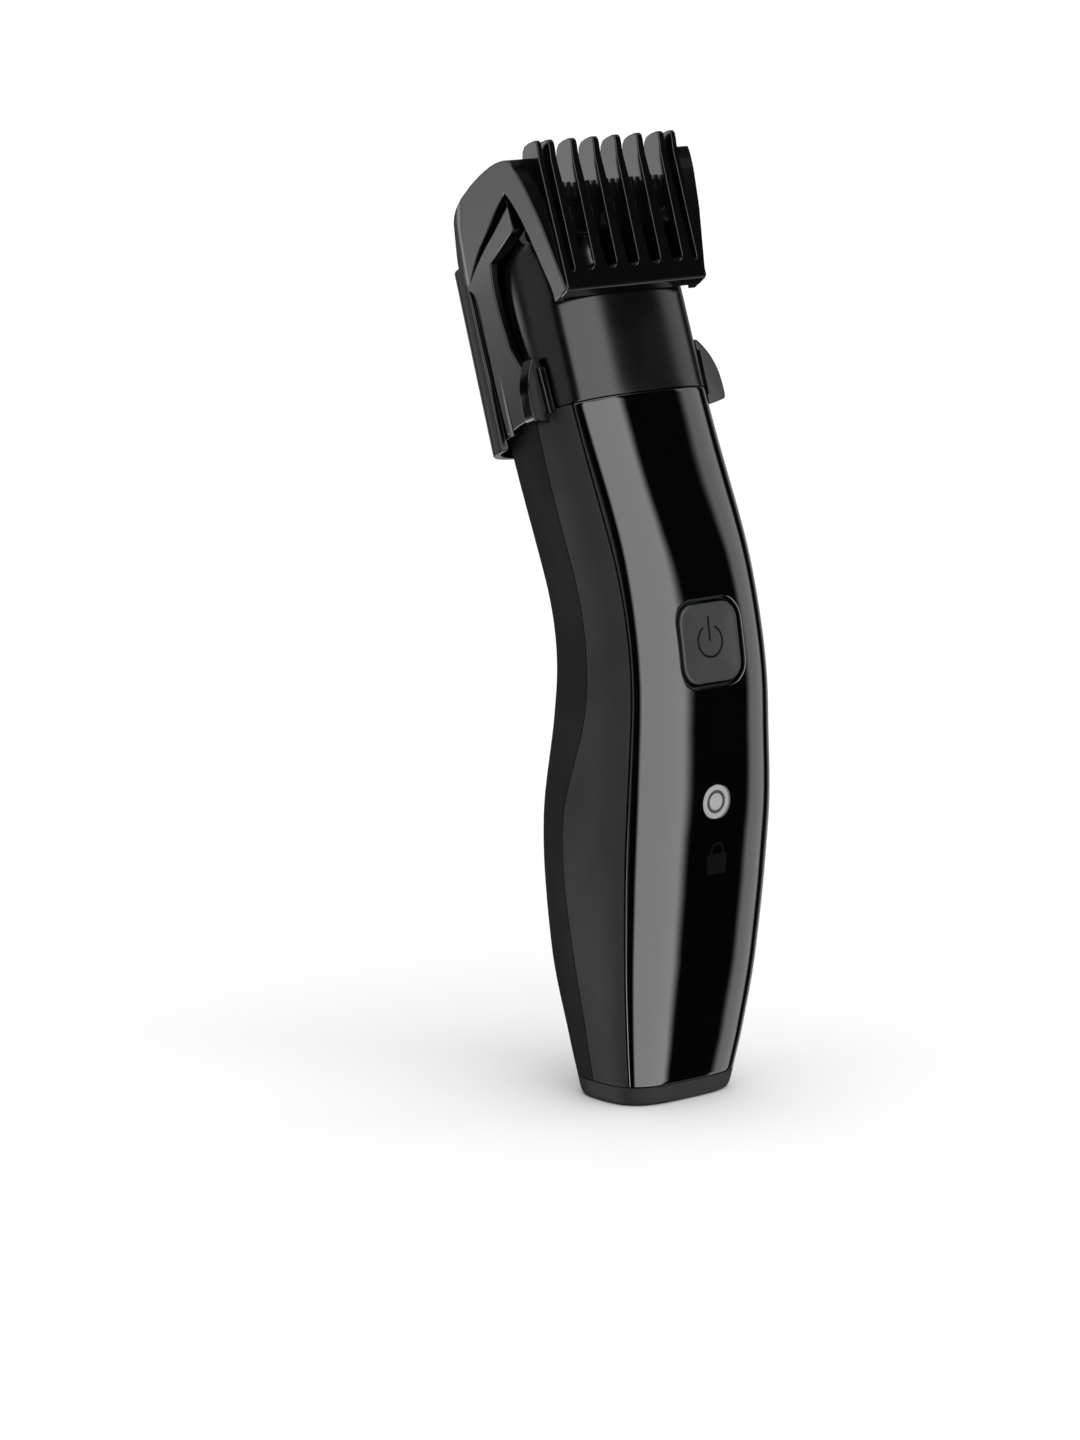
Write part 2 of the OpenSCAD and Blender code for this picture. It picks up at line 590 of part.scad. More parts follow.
// The roof's rings are level in front of the blades and climb behind them: shares of the way
// from the collar to the lip, with the back edge's depth and height at each
head_front = [neck_front, 11.5];
roof = [0, 0.2, 0.4, 0.6, 0.8, 1];
head_back = [neck_back, 16.2, 15, 12.2, 7.2, -2.8];
back_rise = [2, 6, 8, 8.6, 8.6, 8.5];
roof_w = 1.6;
rise_from = -7.7;
function head_ring(z, k, i, d, rise = 0) =
  let (f = -lerp(head_front[0], head_front[1], k), b = head_back[i], c = lerp(0, (f + b) / 2, k),
    w = neck_w / 2 - roof_w * k ^ 2)
  [for (j = [0:47]) let (p = outline_pt(w - d, c - f - d, b - c - d, -7.5 * j), y = c + p[1])
    [p[0], y, z + rise * max(0, (y - rise_from) / (b - rise_from))]];
module head_housing() color([0.12, 0.12, 0.13]) head_frame() {
  roof_z = [for (k = roof) lerp(collar_h, head_h, k)];
  outer = concat([head_ring(rim_z, 0, 0, 0), head_ring(rim_h, 0, 0, 0), head_ring(rim_h + 0.8, 0, 0, 0)],
    [for (i = [0:len(roof) - 1]) head_ring(roof_z[i], roof[i], i, 0, back_rise[i])]);
  inner = concat([head_ring(rim_z, 0, 0, rim_wall), head_ring(rim_h, 0, 0, rim_wall),
      head_ring(rim_h + 0.8, 0, 0, head_wall)],
    [for (i = [0:len(roof) - 1]) head_ring(roof_z[i], roof[i], i, head_wall, back_rise[i])]);
  shell(outer, inner, closed = true);
}

blade_y = -head_front[1];            // back face of the fixed blade
blade_foot = head_h + 0.5;
carrier_top = head_h + 5;
carrier_x = 10;
carrier_t = 3.5;
carrier_deep = 7;                    // how far the carrier's tongue reaches into the head
screw_x = 9;
screw_z = head_h + 2.8;
module blade_carrier() color([0.15, 0.15, 0.16]) head_frame() difference() {
  union() {
    block(-carrier_x, carrier_x, blade_y + head_wall + 0.15, blade_y + carrier_t, head_h - carrier_deep, head_h + 0.2);
    block(-blade_w / 2 + 0.5, blade_w / 2 - 0.5, blade_y, blade_y + carrier_t, head_h + 0.2, carrier_top);
  }
  both_sides() translate([screw_x, 0, screw_z]) rod_y(tap_r + snug, blade_y - 1, blade_y + 3);
}

// Blade outline with teeth along its top edge
module blade_plate(w, z0, z1, deep) {
  count = floor(w / tooth_pitch) - 1;
  difference() {
    translate([-w / 2, z0]) square([w, z1 - z0]);
    for (i = [0:count - 1]) translate([(i - (count - 1) / 2) * tooth_pitch, z1])
      polygon([[-0.25, -deep], [0.25, -deep], [0.5, 0.1], [-0.5, 0.1]]);
  }
}
module fixed_blade() color([0.7, 0.7, 0.72]) head_frame() difference() {
  translate([0, blade_y, 0]) rotate([90, 0, 0]) linear_extrude(blade_t)
    blade_plate(blade_w, blade_foot, blade_top, 3.2);
  both_sides() translate([screw_x, 0, screw_z]) rod_y(tap_r + 0.1, blade_y - 2, blade_y + 1);
}
module blade_screws() color([0.5, 0.5, 0.52]) head_frame() both_sides() translate([screw_x, 0, screw_z]) {
  rod_y(tap_r, blade_y - blade_t, blade_y + 2.6);
  rod_y(1.6, blade_y - blade_t - 0.6, blade_y - blade_t);
}

slide_t = 0.7;                       // thickness of the moving blade
slide_gap = 0.04;
bar_y = blade_y + slide_gap + slide_t;
module moving_blade() color([0.75, 0.75, 0.77]) head_frame()
  translate([0, bar_y, 0]) rotate([90, 0, 0]) linear_extrude(slide_t)
    blade_plate(blade_w - 3, carrier_top + play, blade_top - 0.6, 2.6);

arm_y = [blade_y + 3.9, blade_y + 5.5];
yoke_x = 7.5;                        // half width of the bar that carries the blade
yoke_z = [carrier_top + 1, carrier_top + 3];
fork_x = pin_r + pin_offset + stroke + play;
fork_w = 1.4;
fork_z = [3, 9];
module drive_yoke() color([0.85, 0.85, 0.83]) head_frame() {
  x = fork_x + fork_w;
  block(-yoke_x, yoke_x, bar_y, arm_y[1], yoke_z[0], yoke_z[1]);
  block(-x, x, arm_y[0], arm_y[1], fork_z[1], yoke_z[0]);
  block(-x, x, arm_y[0], 2.6, fork_z[1], fork_z[1] + 1.5);
  both_sides() block(fork_x, x, -2.6, 2.6, fork_z[0], fork_z[1]);
}

leaf_t = 0.4;
module tension_spring() color([0.7, 0.7, 0.72]) head_frame() both_sides() {
  x0 = fork_x + fork_w + stroke + play;
  block(x0, x0 + 1.2, blade_y + carrier_t, arm_y[1] + play + leaf_t, head_h + 1, head_h + 1.8);
  block(x0, x0 + 1.2, arm_y[1] + play, arm_y[1] + play + leaf_t, head_h + 1.8, yoke_z[1]);
}

// ---------- guide comb ----------

comb_face = -17.6;                   // front plane of the teeth
comb_root = -neck_front - comb_gap;  // back of the bar
plate_t = 1.6;
plate_x = [neck_w / 2 + comb_gap + plate_t, 21.7];   // outer face of the arm at the seam and at the shoulder
shoulder_z = 47;
arm_lean = atan((plate_x[1] - plate_x[0]) / shoulder_z);
strut_lean = atan((plate_x[1] - comb_w / 2) / (shoulder_z - comb_bar_z));

// Side plate: shoulder, arrow-shaped end of the arm, arm and foot, as [y, z]
arm_outline = [[-15.4, 46.2], [-14.8, 46.9], [-11.9, 47.4], [-9.4, 47.3], [-2.9, 45.6], [1.6, 43.8],
  [3, 42.4], [4.2, 40.1], [5.2, 36.2], [5.8, 30.5], [6.1, 27.2], [6.2, -2], [5.2, -1.9], [-0.4, -0.6],
  [-7.6, -0.8], [-7.6, 8.2], [-3, 8.6], [-2.1, 10.4], [-1.1, 14.2], [-0.4, 20.1], [-0.6, 26.2],
  [-1.3, 30.1], [-9.7, 34.6], [-9.6, 39.5], [-10.1, 41.5], [-11, 36], [-14, 36]];
strut_outline = [[-15.4, 46.2], [-10.1, 41], [-10.7, 36], [-11.3, 32], [-11.7, 28], [-12.3, 23.4],
  [-12.9, comb_bar_z - 0.3], [-13.8, comb_bar_z - 0.7], [-16.6, comb_bar_z + 0.3], [comb_face + 0.3, comb_bar_z + 0.8],
  [comb_face + 0.2, comb_bar_z + 2.2], [comb_face + 0.4, 27], [comb_face + 0.7, 33], [comb_face + 1.1, 37.3],
  [comb_face + 1.5, 41], [comb_face + 2.2, 45.2]];
// Corner that rounds the shoulder into the sleeve: its section as [x, y] and its side view as [y, z]
corner_section = [[21.3, 5], [19.6, 8.8], [19.1, 8.3], [20.2, 3.4], [21.3, 3.4]];
corner_outline = [[3.4, 26], [8.5, 27], [9.7, 33.4], [9.2, 36.5], [8.3, 41.2], [6.4, 42.4], [3.4, 42.2]];
// Plate extruded along X from a [y, z] outline, its outer face turned about height z0
module side_plate(outline, x, z0, t, lean_out)
  translate([x, 0, z0]) rotate([0, lean_out, 0]) translate([-t, 0, -z0])
    rotate([90, 0, 90]) linear_extrude(t) polygon(outline);

// Side view of the bar and teeth, which grow deeper above the blade screws
deep_z = [screw_z + 2.2, screw_z + 3.8];
tooth_deep = [3.9, 5];
comb_profile = [[comb_root, comb_bar_z - 0.8], [-16.4, comb_bar_z], [comb_face + 0.5, comb_bar_z],
  [comb_face + 0.1, comb_bar_z + 0.5], [comb_face, comb_bar_z + comb_bar_h], [comb_face, comb_top - 4],
  [comb_face - 0.4, comb_top - 1.4], [comb_face - 0.4, comb_top - 0.6], [comb_face, comb_top],
  [comb_face + 1.3, comb_top - 0.1], [comb_face + 2.6, comb_top - 0.6], [comb_face + 3.7, comb_top - 1.4],
  [comb_face + 4.5, comb_top - 2.5], [comb_face + tooth_deep[1], comb_top - 4],
  [comb_face + tooth_deep[1], deep_z[1]], [comb_face + tooth_deep[0], deep_z[0]],
  [comb_face + tooth_deep[0], comb_bar_z + 7], [comb_root, comb_bar_z + comb_bar_h]];
slot_w = 2.7;
teeth = 6;
// Slot between two teeth: round at the root, wider at the tips
module comb_slot(w, top_w) {
  z = comb_bar_z + comb_bar_h + w / 2;
  translate([0, z]) circle(d = w);
  polygon([[-w / 2, z], [w / 2, z], [top_w / 2, comb_top + 1], [-top_w / 2, comb_top + 1]]);
}
module comb_front() intersection() {
  rotate([90, 0, 90]) translate([0, 0, -comb_w / 2]) linear_extrude(comb_w) polygon(comb_profile);
  translate([0, comb_root + 6, 0]) rotate([90, 0, 0]) linear_extrude(12) difference() {
    translate([-comb_w / 2, comb_bar_z - 2]) square([comb_w, comb_top - comb_bar_z + 3]);
    for (i = [0:teeth - 2]) translate([(i - (teeth - 2) / 2) * comb_pitch, 0])
      comb_slot(slot_w, comb_pitch - comb_tooth_t);
    for (x = [-1, 1]) translate([x * (teeth * comb_pitch / 2 - 1.2), 0]) comb_slot(1.2, 1.8);
  }
}

sleeve_z = [-4.5, 32];
sleeve_t0 = 14;                      // section angle of the sleeve's front edge
sleeve_out = 1.3;                    // how far the sleeve stands off the comb's gap
// Arc of the sleeve's wall, standing off by the distance out, and thick as t
function wrap(out, t, t0, t1, n) =
  concat(neck_ring(-comb_gap - out, t0, t1, n), neck_ring(-comb_gap - out - t, t1, t0, n));
module sleeve() {
  translate([0, 0, sleeve_z[0]]) linear_extrude(sleeve_z[1] - sleeve_z[0])
    polygon(wrap(sleeve_out, sleeve_t, sleeve_t0, 180 - sleeve_t0, 26));
  both_sides() translate([0, 0, sleeve_z[0] + 2]) linear_extrude(sleeve_z[1] - sleeve_z[0] - 3)
    polygon(wrap(0, sleeve_out + 0.3, 6, sleeve_t0 + 1.5, 4));
}
module shoulder_corner() intersection() {
  translate([0, 0, 20]) linear_extrude(30) polygon(corner_section);
  rotate([90, 0, 90]) linear_extrude(30) polygon(corner_outline);
}

fin_y = [-7.1, -4.4];
fin_turn = 5;
// Thumb fin in front view, measured out from the side plate
fin_outline = [[-0.6, 10.4], [0.1, 10.4], [1.2, 9], [2.3, 7.3], [3.1, 5.4], [3.6, 3.4],
  [3.8, 1], [3.8, -1.5], [3.2, -2], [-0.6, -2.4]];
module thumb_fin() translate([plate_x[0], fin_y[1], 0]) rotate([0, 0, -fin_turn]) rotate([90, 0, 0])
  linear_extrude(fin_y[1] - fin_y[0]) polygon(fin_outline);

module guide_comb() color([0.08, 0.08, 0.085]) head_frame() {
  both_sides() {
    side_plate(arm_outline, plate_x[0], 0, plate_t, arm_lean);
    side_plate(strut_outline, plate_x[1], shoulder_z, plate_t + 0.5, strut_lean);
    thumb_fin();
    shoulder_corner();
  }
  comb_front();
  sleeve();
}

front_housing();
front_panel();
rear_housing();
back_grip();
bottom_cap();
charging_socket();
socket_pin();
housing_screws();
battery_cell();
battery_tabs();
battery_cradle();
main_board();
board_parts();
status_led();
light_pipe();
light_mask();
light_ring();
button_board();
tact_switch();
switch_plunger();
power_button();
motor_leads();
motor_can();
motor_end_cap();
motor_bushes();
motor_screws();
motor_armature();
motor_shaft();
drive_cam();
neck_plate();
neck_gasket();
head_housing();
blade_carrier();
fixed_blade();
blade_screws();
tension_spring();
moving_blade();
drive_yoke();
guide_comb();
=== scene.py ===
# %% [markdown]
# # A cordless beard trimmer
#
# The handle leans back towards the head. Its front is one long panel of gloss plastic with a
# power button and a status light, its flanks are satin plastic, and its back is soft rubber.
# A comb with side arms slides over the head and sets how much hair the blades leave.
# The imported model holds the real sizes, so every smooth skin below follows the same section
# rule as the solids, and only surfaces, edges and finishes are made here.

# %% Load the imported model
import json
import math

import bmesh
import bpy
from mathutils import Matrix, Vector


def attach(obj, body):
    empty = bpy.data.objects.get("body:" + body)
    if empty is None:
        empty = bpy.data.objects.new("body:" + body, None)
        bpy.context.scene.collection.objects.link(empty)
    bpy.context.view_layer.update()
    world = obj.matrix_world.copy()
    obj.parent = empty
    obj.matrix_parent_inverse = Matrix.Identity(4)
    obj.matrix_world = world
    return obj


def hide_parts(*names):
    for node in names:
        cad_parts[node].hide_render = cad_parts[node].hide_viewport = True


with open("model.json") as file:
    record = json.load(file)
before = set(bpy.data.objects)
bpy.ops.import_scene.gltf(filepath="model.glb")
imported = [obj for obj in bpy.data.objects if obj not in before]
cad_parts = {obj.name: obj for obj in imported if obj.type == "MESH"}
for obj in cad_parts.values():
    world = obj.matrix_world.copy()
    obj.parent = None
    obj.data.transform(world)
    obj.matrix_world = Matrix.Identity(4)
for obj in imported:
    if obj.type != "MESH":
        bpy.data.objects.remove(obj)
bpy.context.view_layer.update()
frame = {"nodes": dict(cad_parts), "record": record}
nodes = frame["nodes"]
MM = 0.001

# %% [markdown]
# ## Camera
#
# A long lens keeps the tall handle free of perspective stretch. The camera stands to the left
# of the front and a little above, and looks at the middle of the trimmer.

# %% Camera
CAMERA_TURN = math.radians(41)
CAMERA_DROP = math.radians(10.9)
CAMERA_DISTANCE = 1.104
CAMERA_LENS = 143.5
AIM_LEFT = 0.022
AIM_HEIGHT = 0.073

right = Vector((math.cos(CAMERA_TURN), -math.sin(CAMERA_TURN), 0))
forward = Vector((math.sin(CAMERA_TURN) * math.cos(CAMERA_DROP),
                  math.cos(CAMERA_TURN) * math.cos(CAMERA_DROP), -math.sin(CAMERA_DROP)))
aim = Vector((0, 0, AIM_HEIGHT)) - AIM_LEFT * right
camera_data = bpy.data.cameras.new("camera")
camera_data.lens = CAMERA_LENS
camera_data.sensor_width = 36
camera_data.clip_start = 0.05
camera = bpy.data.objects.new("camera", camera_data)
camera.location = aim - forward * CAMERA_DISTANCE
camera.rotation_euler = forward.to_track_quat("-Z", "Y").to_euler()
bpy.context.scene.collection.objects.link(camera)
bpy.context.scene.camera = camera
bpy.context.scene.view_settings.view_transform = "Standard"
print("camera", [round(v, 3) for v in camera.location])

# %% [markdown]
# ## Studio light
#
# Gloss black shows nothing of its own colour, only the studio mirrored in it. So the light is a
# few tall soft panels with dark gaps between them. Lamps could be those panels, but a world that
# gets brighter in some directions has no edges, noise or falloff to fight. One node group makes
# a soft panel from a direction, and the world adds up a few of them.

# %% Soft panel group
def add_node(tree, kind, links=None, **values):
    """A node with its properties, and its inputs as numbers or links."""
    node = tree.nodes.new(kind)
    for key, value in values.items():
        setattr(node, key, value)
    for key, value in (links or {}).items():
        if isinstance(value, bpy.types.NodeSocket):
            tree.links.new(value, node.inputs[key])
        else:
            node.inputs[key].default_value = value
    return node


def calc(tree, operation, *values, clamp=False):
    """The output of a Math node."""
    node = add_node(tree, "ShaderNodeMath", dict(enumerate(values)), operation=operation, use_clamp=clamp)
    return node.outputs[0]


def new_group(name, inputs, outputs):
    """An empty shader group with its inputs and outputs, as (name, kind, default)."""
    group = bpy.data.node_groups.new(name, "ShaderNodeTree")
    for label, kind, default in inputs:
        socket = group.interface.new_socket(label, in_out="INPUT", socket_type="NodeSocket" + kind)
        if default is not None:
            socket.default_value = default
    for label, kind in outputs:
        group.interface.new_socket(label, in_out="OUTPUT", socket_type="NodeSocket" + kind)
    return group, group.nodes.new("NodeGroupInput"), group.nodes.new("NodeGroupOutput")


def smooth_range(tree, value, low, high):
    """0 below low and 1 above high, eased in between."""
    node = add_node(tree, "ShaderNodeMapRange", {"Value": value, "From Min": low, "From Max": high},
                    interpolation_type="SMOOTHSTEP")
    return node.outputs["Result"]


def soft_panel_group():
    group, given, made = new_group(
        "soft_panel",
        [("Direction", "Vector", None), ("Turn", "Float", 0.0), ("Half width", "Float", 20.0),
         ("Softness", "Float", 4.0), ("Bottom", "Float", -60.0), ("Top", "Float", 60.0),
         ("Fade", "Float", 5.0), ("Brightness", "Float", 1.0)],
        [("Light", "Float")])
    turned = add_node(group, "ShaderNodeVectorRotate", {"Vector": given.outputs["Direction"],
                      "Angle": calc(group, "RADIANS", given.outputs["Turn"])}, rotation_type="Z_AXIS")
    parts = add_node(group, "ShaderNodeSeparateXYZ", {"Vector": turned.outputs[0]})
    bearing = calc(group, "ARCTAN2", parts.outputs[0], parts.outputs[1])
    sideways = calc(group, "ABSOLUTE", calc(group, "DEGREES", bearing))
    height = calc(group, "DEGREES", calc(group, "ARCSINE", parts.outputs[2]))
    half, soft = given.outputs["Half width"], given.outputs["Softness"]
    inside = calc(group, "SUBTRACT", 1, smooth_range(group, sideways, calc(group, "SUBTRACT", half, soft),
                                                     calc(group, "ADD", half, soft)))
    bottom, top, fade = [given.outputs[label] for label in ("Bottom", "Top", "Fade")]
    above = smooth_range(group, height, calc(group, "SUBTRACT", bottom, 5), calc(group, "ADD", bottom, 5))
    below = calc(group, "SUBTRACT", 1, smooth_range(group, height, calc(group, "SUBTRACT", top, fade),
                                                    calc(group, "ADD", top, fade)))
    light = calc(group, "MULTIPLY", calc(group, "MULTIPLY", inside, above),
                 calc(group, "MULTIPLY", below, given.outputs["Brightness"]))
    group.links.new(light, made.inputs["Light"])
    return group


soft_panel = soft_panel_group()
print("inputs of a soft panel", len(soft_panel.interface.items_tree) - 1)

# %% [markdown]
# ## World
#
# The front panel gives the wide band on the left of the gloss, the next one the thin band on its
# right. The low one lights the flared shoulder of the comb, the narrow one its arm and teeth, and
# the rest are faint fills for the sleeve, the flank and the right side.
#
# Rays from the camera, straight or through something clear, meet plain white instead. Rays
# reflected by the gloss parts still meet the dark studio, or the black would turn grey.

# %% World
# Turn is the compass direction of the panel's middle, in degrees: 0 behind, 90 right, 180 front
PANELS = [
    # turn, half width, softness, bottom, top, fade at the top, brightness
    (-176, 38, 4.5, -60, 42, 5, 2.4),
    (110, 14, 3.5, -60, 36, 5, 0.95),
    (-58, 24, 8, -60, -20, 12, 5.7),
    (-37, 8, 5, -20, 5, 5, 3.0),
    (-8, 18, 6, -21, 50, 5, 0.3),
    (-86, 30, 6, -40, 50, 5, 0.45),
    (48, 26, 10, -40, 50, 5, 0.35),
]
OVERHEAD, OVERHEAD_FROM, OVERHEAD_FULL = 2.4, 0.72, 0.86
ROOM = 0.004
PALE = 1.0

world = bpy.data.worlds.new("studio")
bpy.context.scene.world = world
world.use_nodes = True
sky = world.node_tree
sky.nodes.clear()
toward = add_node(sky, "ShaderNodeTexCoord").outputs["Generated"]
total = ROOM
for panel in PANELS:
    values = dict(zip(("Turn", "Half width", "Softness", "Bottom", "Top", "Fade", "Brightness"), panel))
    panel_node = add_node(sky, "ShaderNodeGroup", node_tree=soft_panel)
    for label, value in values.items():
        panel_node.inputs[label].default_value = value
    sky.links.new(toward, panel_node.inputs["Direction"])
    total = calc(sky, "ADD", panel_node.outputs["Light"], total)
up_part = add_node(sky, "ShaderNodeSeparateXYZ", {"Vector": toward}).outputs[2]
overhead = calc(sky, "MULTIPLY", smooth_range(sky, up_part, OVERHEAD_FROM, OVERHEAD_FULL), OVERHEAD)
total = calc(sky, "ADD", total, overhead)
light_shader = add_node(sky, "ShaderNodeBackground", {"Color": (1, 1, 1, 1), "Strength": total})
pale_shader = add_node(sky, "ShaderNodeBackground", {"Color": (PALE, PALE, PALE, 1), "Strength": 1})
ray = add_node(sky, "ShaderNodeLightPath").outputs
seen = calc(sky, "ADD", ray["Is Camera Ray"], ray["Is Transmission Ray"], clamp=True)
both = add_node(sky, "ShaderNodeMixShader", {0: seen, 1: light_shader.outputs[0], 2: pale_shader.outputs[0]})
sky.links.new(both.outputs[0], add_node(sky, "ShaderNodeOutputWorld").inputs["Surface"])
print("panels", len(PANELS))

# %% [markdown]
# ## Floor
#
# A plain pale floor keeps the soft shadow under the foot. It is left out of reflections,
# because a mirror-black part would show it as one large grey patch.

# %% Floor
FLOOR_SIZE = 8
FLOOR_PAINT = {"Base Color": (0.86, 0.86, 0.86, 1), "Roughness": 0.9}

floor_mesh = bpy.data.meshes.new("floor")
bm = bmesh.new()
bmesh.ops.create_grid(bm, x_segments=1, y_segments=1, size=FLOOR_SIZE)
bm.to_mesh(floor_mesh)
bm.free()
floor = bpy.data.objects.new("floor", floor_mesh)
floor.visible_glossy = False
bpy.context.scene.collection.objects.link(floor)
floor_paint = bpy.data.materials.new("floor_paint")
floor_paint.use_nodes = True
for label, value in FLOOR_PAINT.items():
    floor_paint.node_tree.nodes["Principled BSDF"].inputs[label].default_value = value
floor_mesh.materials.append(floor_paint)
print("floor", 2 * FLOOR_SIZE, "m wide")

# %% [markdown]
# ## Finishes
#
# Moulded plastic is never one flat tone. A spark-eroded mould leaves a fine grain, and handling
# leaves patches that are a little smoother. Two node groups give both to every material:
# moulded grain for the plastics and the rubber, and ground lines for the steel.

# %% Shared surface groups
def noise(tree, vector, scale, detail=2.0, rough=0.5):
    node = add_node(tree, "ShaderNodeTexNoise",
                    {"Vector": vector, "Scale": scale, "Detail": detail, "Roughness": rough})
    return node.outputs["Fac"]


def mix_colour(tree, factor, a, b):
    node = add_node(tree, "ShaderNodeMix", data_type="RGBA")
    for socket, value in ((node.inputs[0], factor), (node.inputs[6], a), (node.inputs[7], b)):
        if isinstance(value, bpy.types.NodeSocket):
            tree.links.new(value, socket)
        else:
            socket.default_value = value
    return node.outputs[2]


def moulded_group():
    group, given, made = new_group(
        "moulded_grain",
        [("Colour", "Color", (0.02, 0.02, 0.02, 1)), ("Worn colour", "Color", (0.03, 0.03, 0.03, 1)),
         ("Roughness", "Float", 0.4), ("Handling", "Float", 0.05), ("Grain size", "Float", 0.3)],
        [("Colour", "Color"), ("Roughness", "Float"), ("Height", "Float")])
    place = add_node(group, "ShaderNodeTexCoord").outputs["Object"]
    grain = noise(group, place, calc(group, "DIVIDE", 1000, given.outputs["Grain size"]), 2.0, 0.6)
    patches = noise(group, place, 45, 3.0, 0.55)
    smooth = smooth_range(group, patches, 0.42, 0.62)
    colour = mix_colour(group, smooth, given.outputs["Colour"], given.outputs["Worn colour"])
    rough = calc(group, "ADD", given.outputs["Roughness"],
                 calc(group, "MULTIPLY", calc(group, "SUBTRACT", 0.5, smooth), given.outputs["Handling"]))
    group.links.new(colour, made.inputs["Colour"])
    group.links.new(rough, made.inputs["Roughness"])
    group.links.new(grain, made.inputs["Height"])
    return group


def ground_group():
    group, given, made = new_group(
        "ground_lines",
        [("Colour", "Color", (0.6, 0.6, 0.6, 1)), ("Dark colour", "Color", (0.4, 0.4, 0.4, 1)),
         ("Roughness", "Float", 0.3), ("Stretch", "Vector", (1.0, 1.0, 0.05))],
        [("Colour", "Color"), ("Roughness", "Float"), ("Height", "Float")])
    place = add_node(group, "ShaderNodeTexCoord").outputs["Object"]
    stretched = add_node(group, "ShaderNodeVectorMath", {0: place, 1: given.outputs["Stretch"]},
                         operation="MULTIPLY").outputs[0]
    lines = noise(group, stretched, 6000, 2.0, 0.7)
    stains = noise(group, place, 260, 3.0, 0.6)
    group.links.new(mix_colour(group, stains, given.outputs["Colour"], given.outputs["Dark colour"]),
                    made.inputs["Colour"])
    group.links.new(calc(group, "ADD", given.outputs["Roughness"], calc(group, "MULTIPLY", lines, 0.12)),
                    made.inputs["Roughness"])
    group.links.new(lines, made.inputs["Height"])
    return group


moulded_grain = moulded_group()
ground_lines = ground_group()


def grey(value):
    return (value, value, value * 1.03, 1)


def finish(name, group, inputs, bump, bump_size, **shader_inputs):
    """A material of one shader fed by a surface group, with a bump of that depth in metres."""
    material = bpy.data.materials.new(name)
    material.use_nodes = True
    tree = material.node_tree
    shader = tree.nodes["Principled BSDF"]
    surface = add_node(tree, "ShaderNodeGroup", node_tree=group)
    for label, value in inputs.items():
        surface.inputs[label].default_value = value
    tree.links.new(surface.outputs["Colour"], shader.inputs["Base Color"])
    tree.links.new(surface.outputs["Roughness"], shader.inputs["Roughness"])
    if bump:
        bump_node = add_node(tree, "ShaderNodeBump",
                             {"Height": surface.outputs["Height"], "Strength": bump, "Distance": bump_size})
        tree.links.new(bump_node.outputs["Normal"], shader.inputs["Normal"])
    for label, value in shader_inputs.items():
        shader.inputs[label.replace("_", " ")].default_value = value
    return material


def plastic(name, colour, worn, rough, handling=0.05, grain=0.3, bump=0.25, **extra):
    return finish(name, moulded_grain, {"Colour": colour, "Worn colour": worn, "Roughness": rough,
                                        "Handling": handling, "Grain size": grain}, bump, 0.00002, **extra)


def metal(name, colour, dark, rough, stretch=(1, 1, 0.05), **extra):
    return finish(name, ground_lines, {"Colour": colour, "Dark colour": dark, "Roughness": rough,
                                       "Stretch": stretch}, 0.15, 0.00001, Metallic=1.0, **extra)


# %% [markdown]
# ## Paint for every slot
#
# The record names a material slot for each solid, so one table gives every slot its finish.
# The panel is nearly black under a clear coat, the head and the comb are as black but less
# sharp, and the shell and the rubber are greyer and rougher. What sits inside gets its real
# metal, board and wire colours too, because a solid that no new piece stands for is kept.

# %% One material for each slot of the record
finishes = {
    "satin_shell": plastic("satin_shell", grey(0.022), grey(0.025), 0.5, grain=0.25, Specular_IOR_Level=0.13),
    "gloss_panel": plastic("gloss_panel", grey(0.0008), grey(0.001), 0.05, handling=0.015, bump=0,
                           Coat_Weight=1.0, Coat_Roughness=0.015),
    "inner_shell": plastic("inner_shell", grey(0.018), grey(0.022), 0.55),
    "grip_rubber": plastic("grip_rubber", grey(0.009), grey(0.011), 0.66, grain=0.45, bump=0.6,
                           Specular_IOR_Level=0.13),
    "inner_plastic": plastic("inner_plastic", grey(0.028), grey(0.033), 0.5),
    "brass": metal("brass", (0.78, 0.58, 0.28, 1), (0.6, 0.42, 0.2, 1), 0.25),
    "steel": metal("steel", grey(0.58), grey(0.45), 0.28),
    "cell_wrap": plastic("cell_wrap", (0.04, 0.17, 0.36, 1), (0.05, 0.2, 0.4, 1), 0.25, bump=0.05),
    "nickel": metal("nickel", (0.7, 0.69, 0.66, 1), (0.6, 0.59, 0.56, 1), 0.2),
    "board": plastic("board", (0.015, 0.13, 0.05, 1), (0.02, 0.17, 0.07, 1), 0.35, bump=0.1),
    "chips": plastic("chips", grey(0.03), grey(0.04), 0.45),
    "light": plastic("light", grey(0.31), grey(0.33), 0.3, bump=0.05),
    "keycap": plastic("keycap", grey(0.022), grey(0.026), 0.33, grain=0.2, bump=0.2),
    "lead_wire": plastic("lead_wire", (0.45, 0.02, 0.02, 1), (0.5, 0.03, 0.03, 1), 0.45, bump=0.05),
    "white_plastic": plastic("white_plastic", (0.72, 0.71, 0.67, 1), (0.76, 0.75, 0.71, 1), 0.4),
    "copper": metal("copper", (0.75, 0.38, 0.2, 1), (0.55, 0.26, 0.14, 1), 0.35),
    "head_satin": plastic("head_satin", grey(0.0008), grey(0.001), 0.18, grain=0.2, bump=0.1,
                          Specular_IOR_Level=0.62),
    "blade_steel": metal("blade_steel", grey(0.5), grey(0.35), 0.22),
    "comb_gloss": plastic("comb_gloss", grey(0.0015), grey(0.002), 0.12, handling=0.03, bump=0.03),
}
slot_of = {part["node"]: part["material_slot"] for part in frame["record"]["subparts"]}
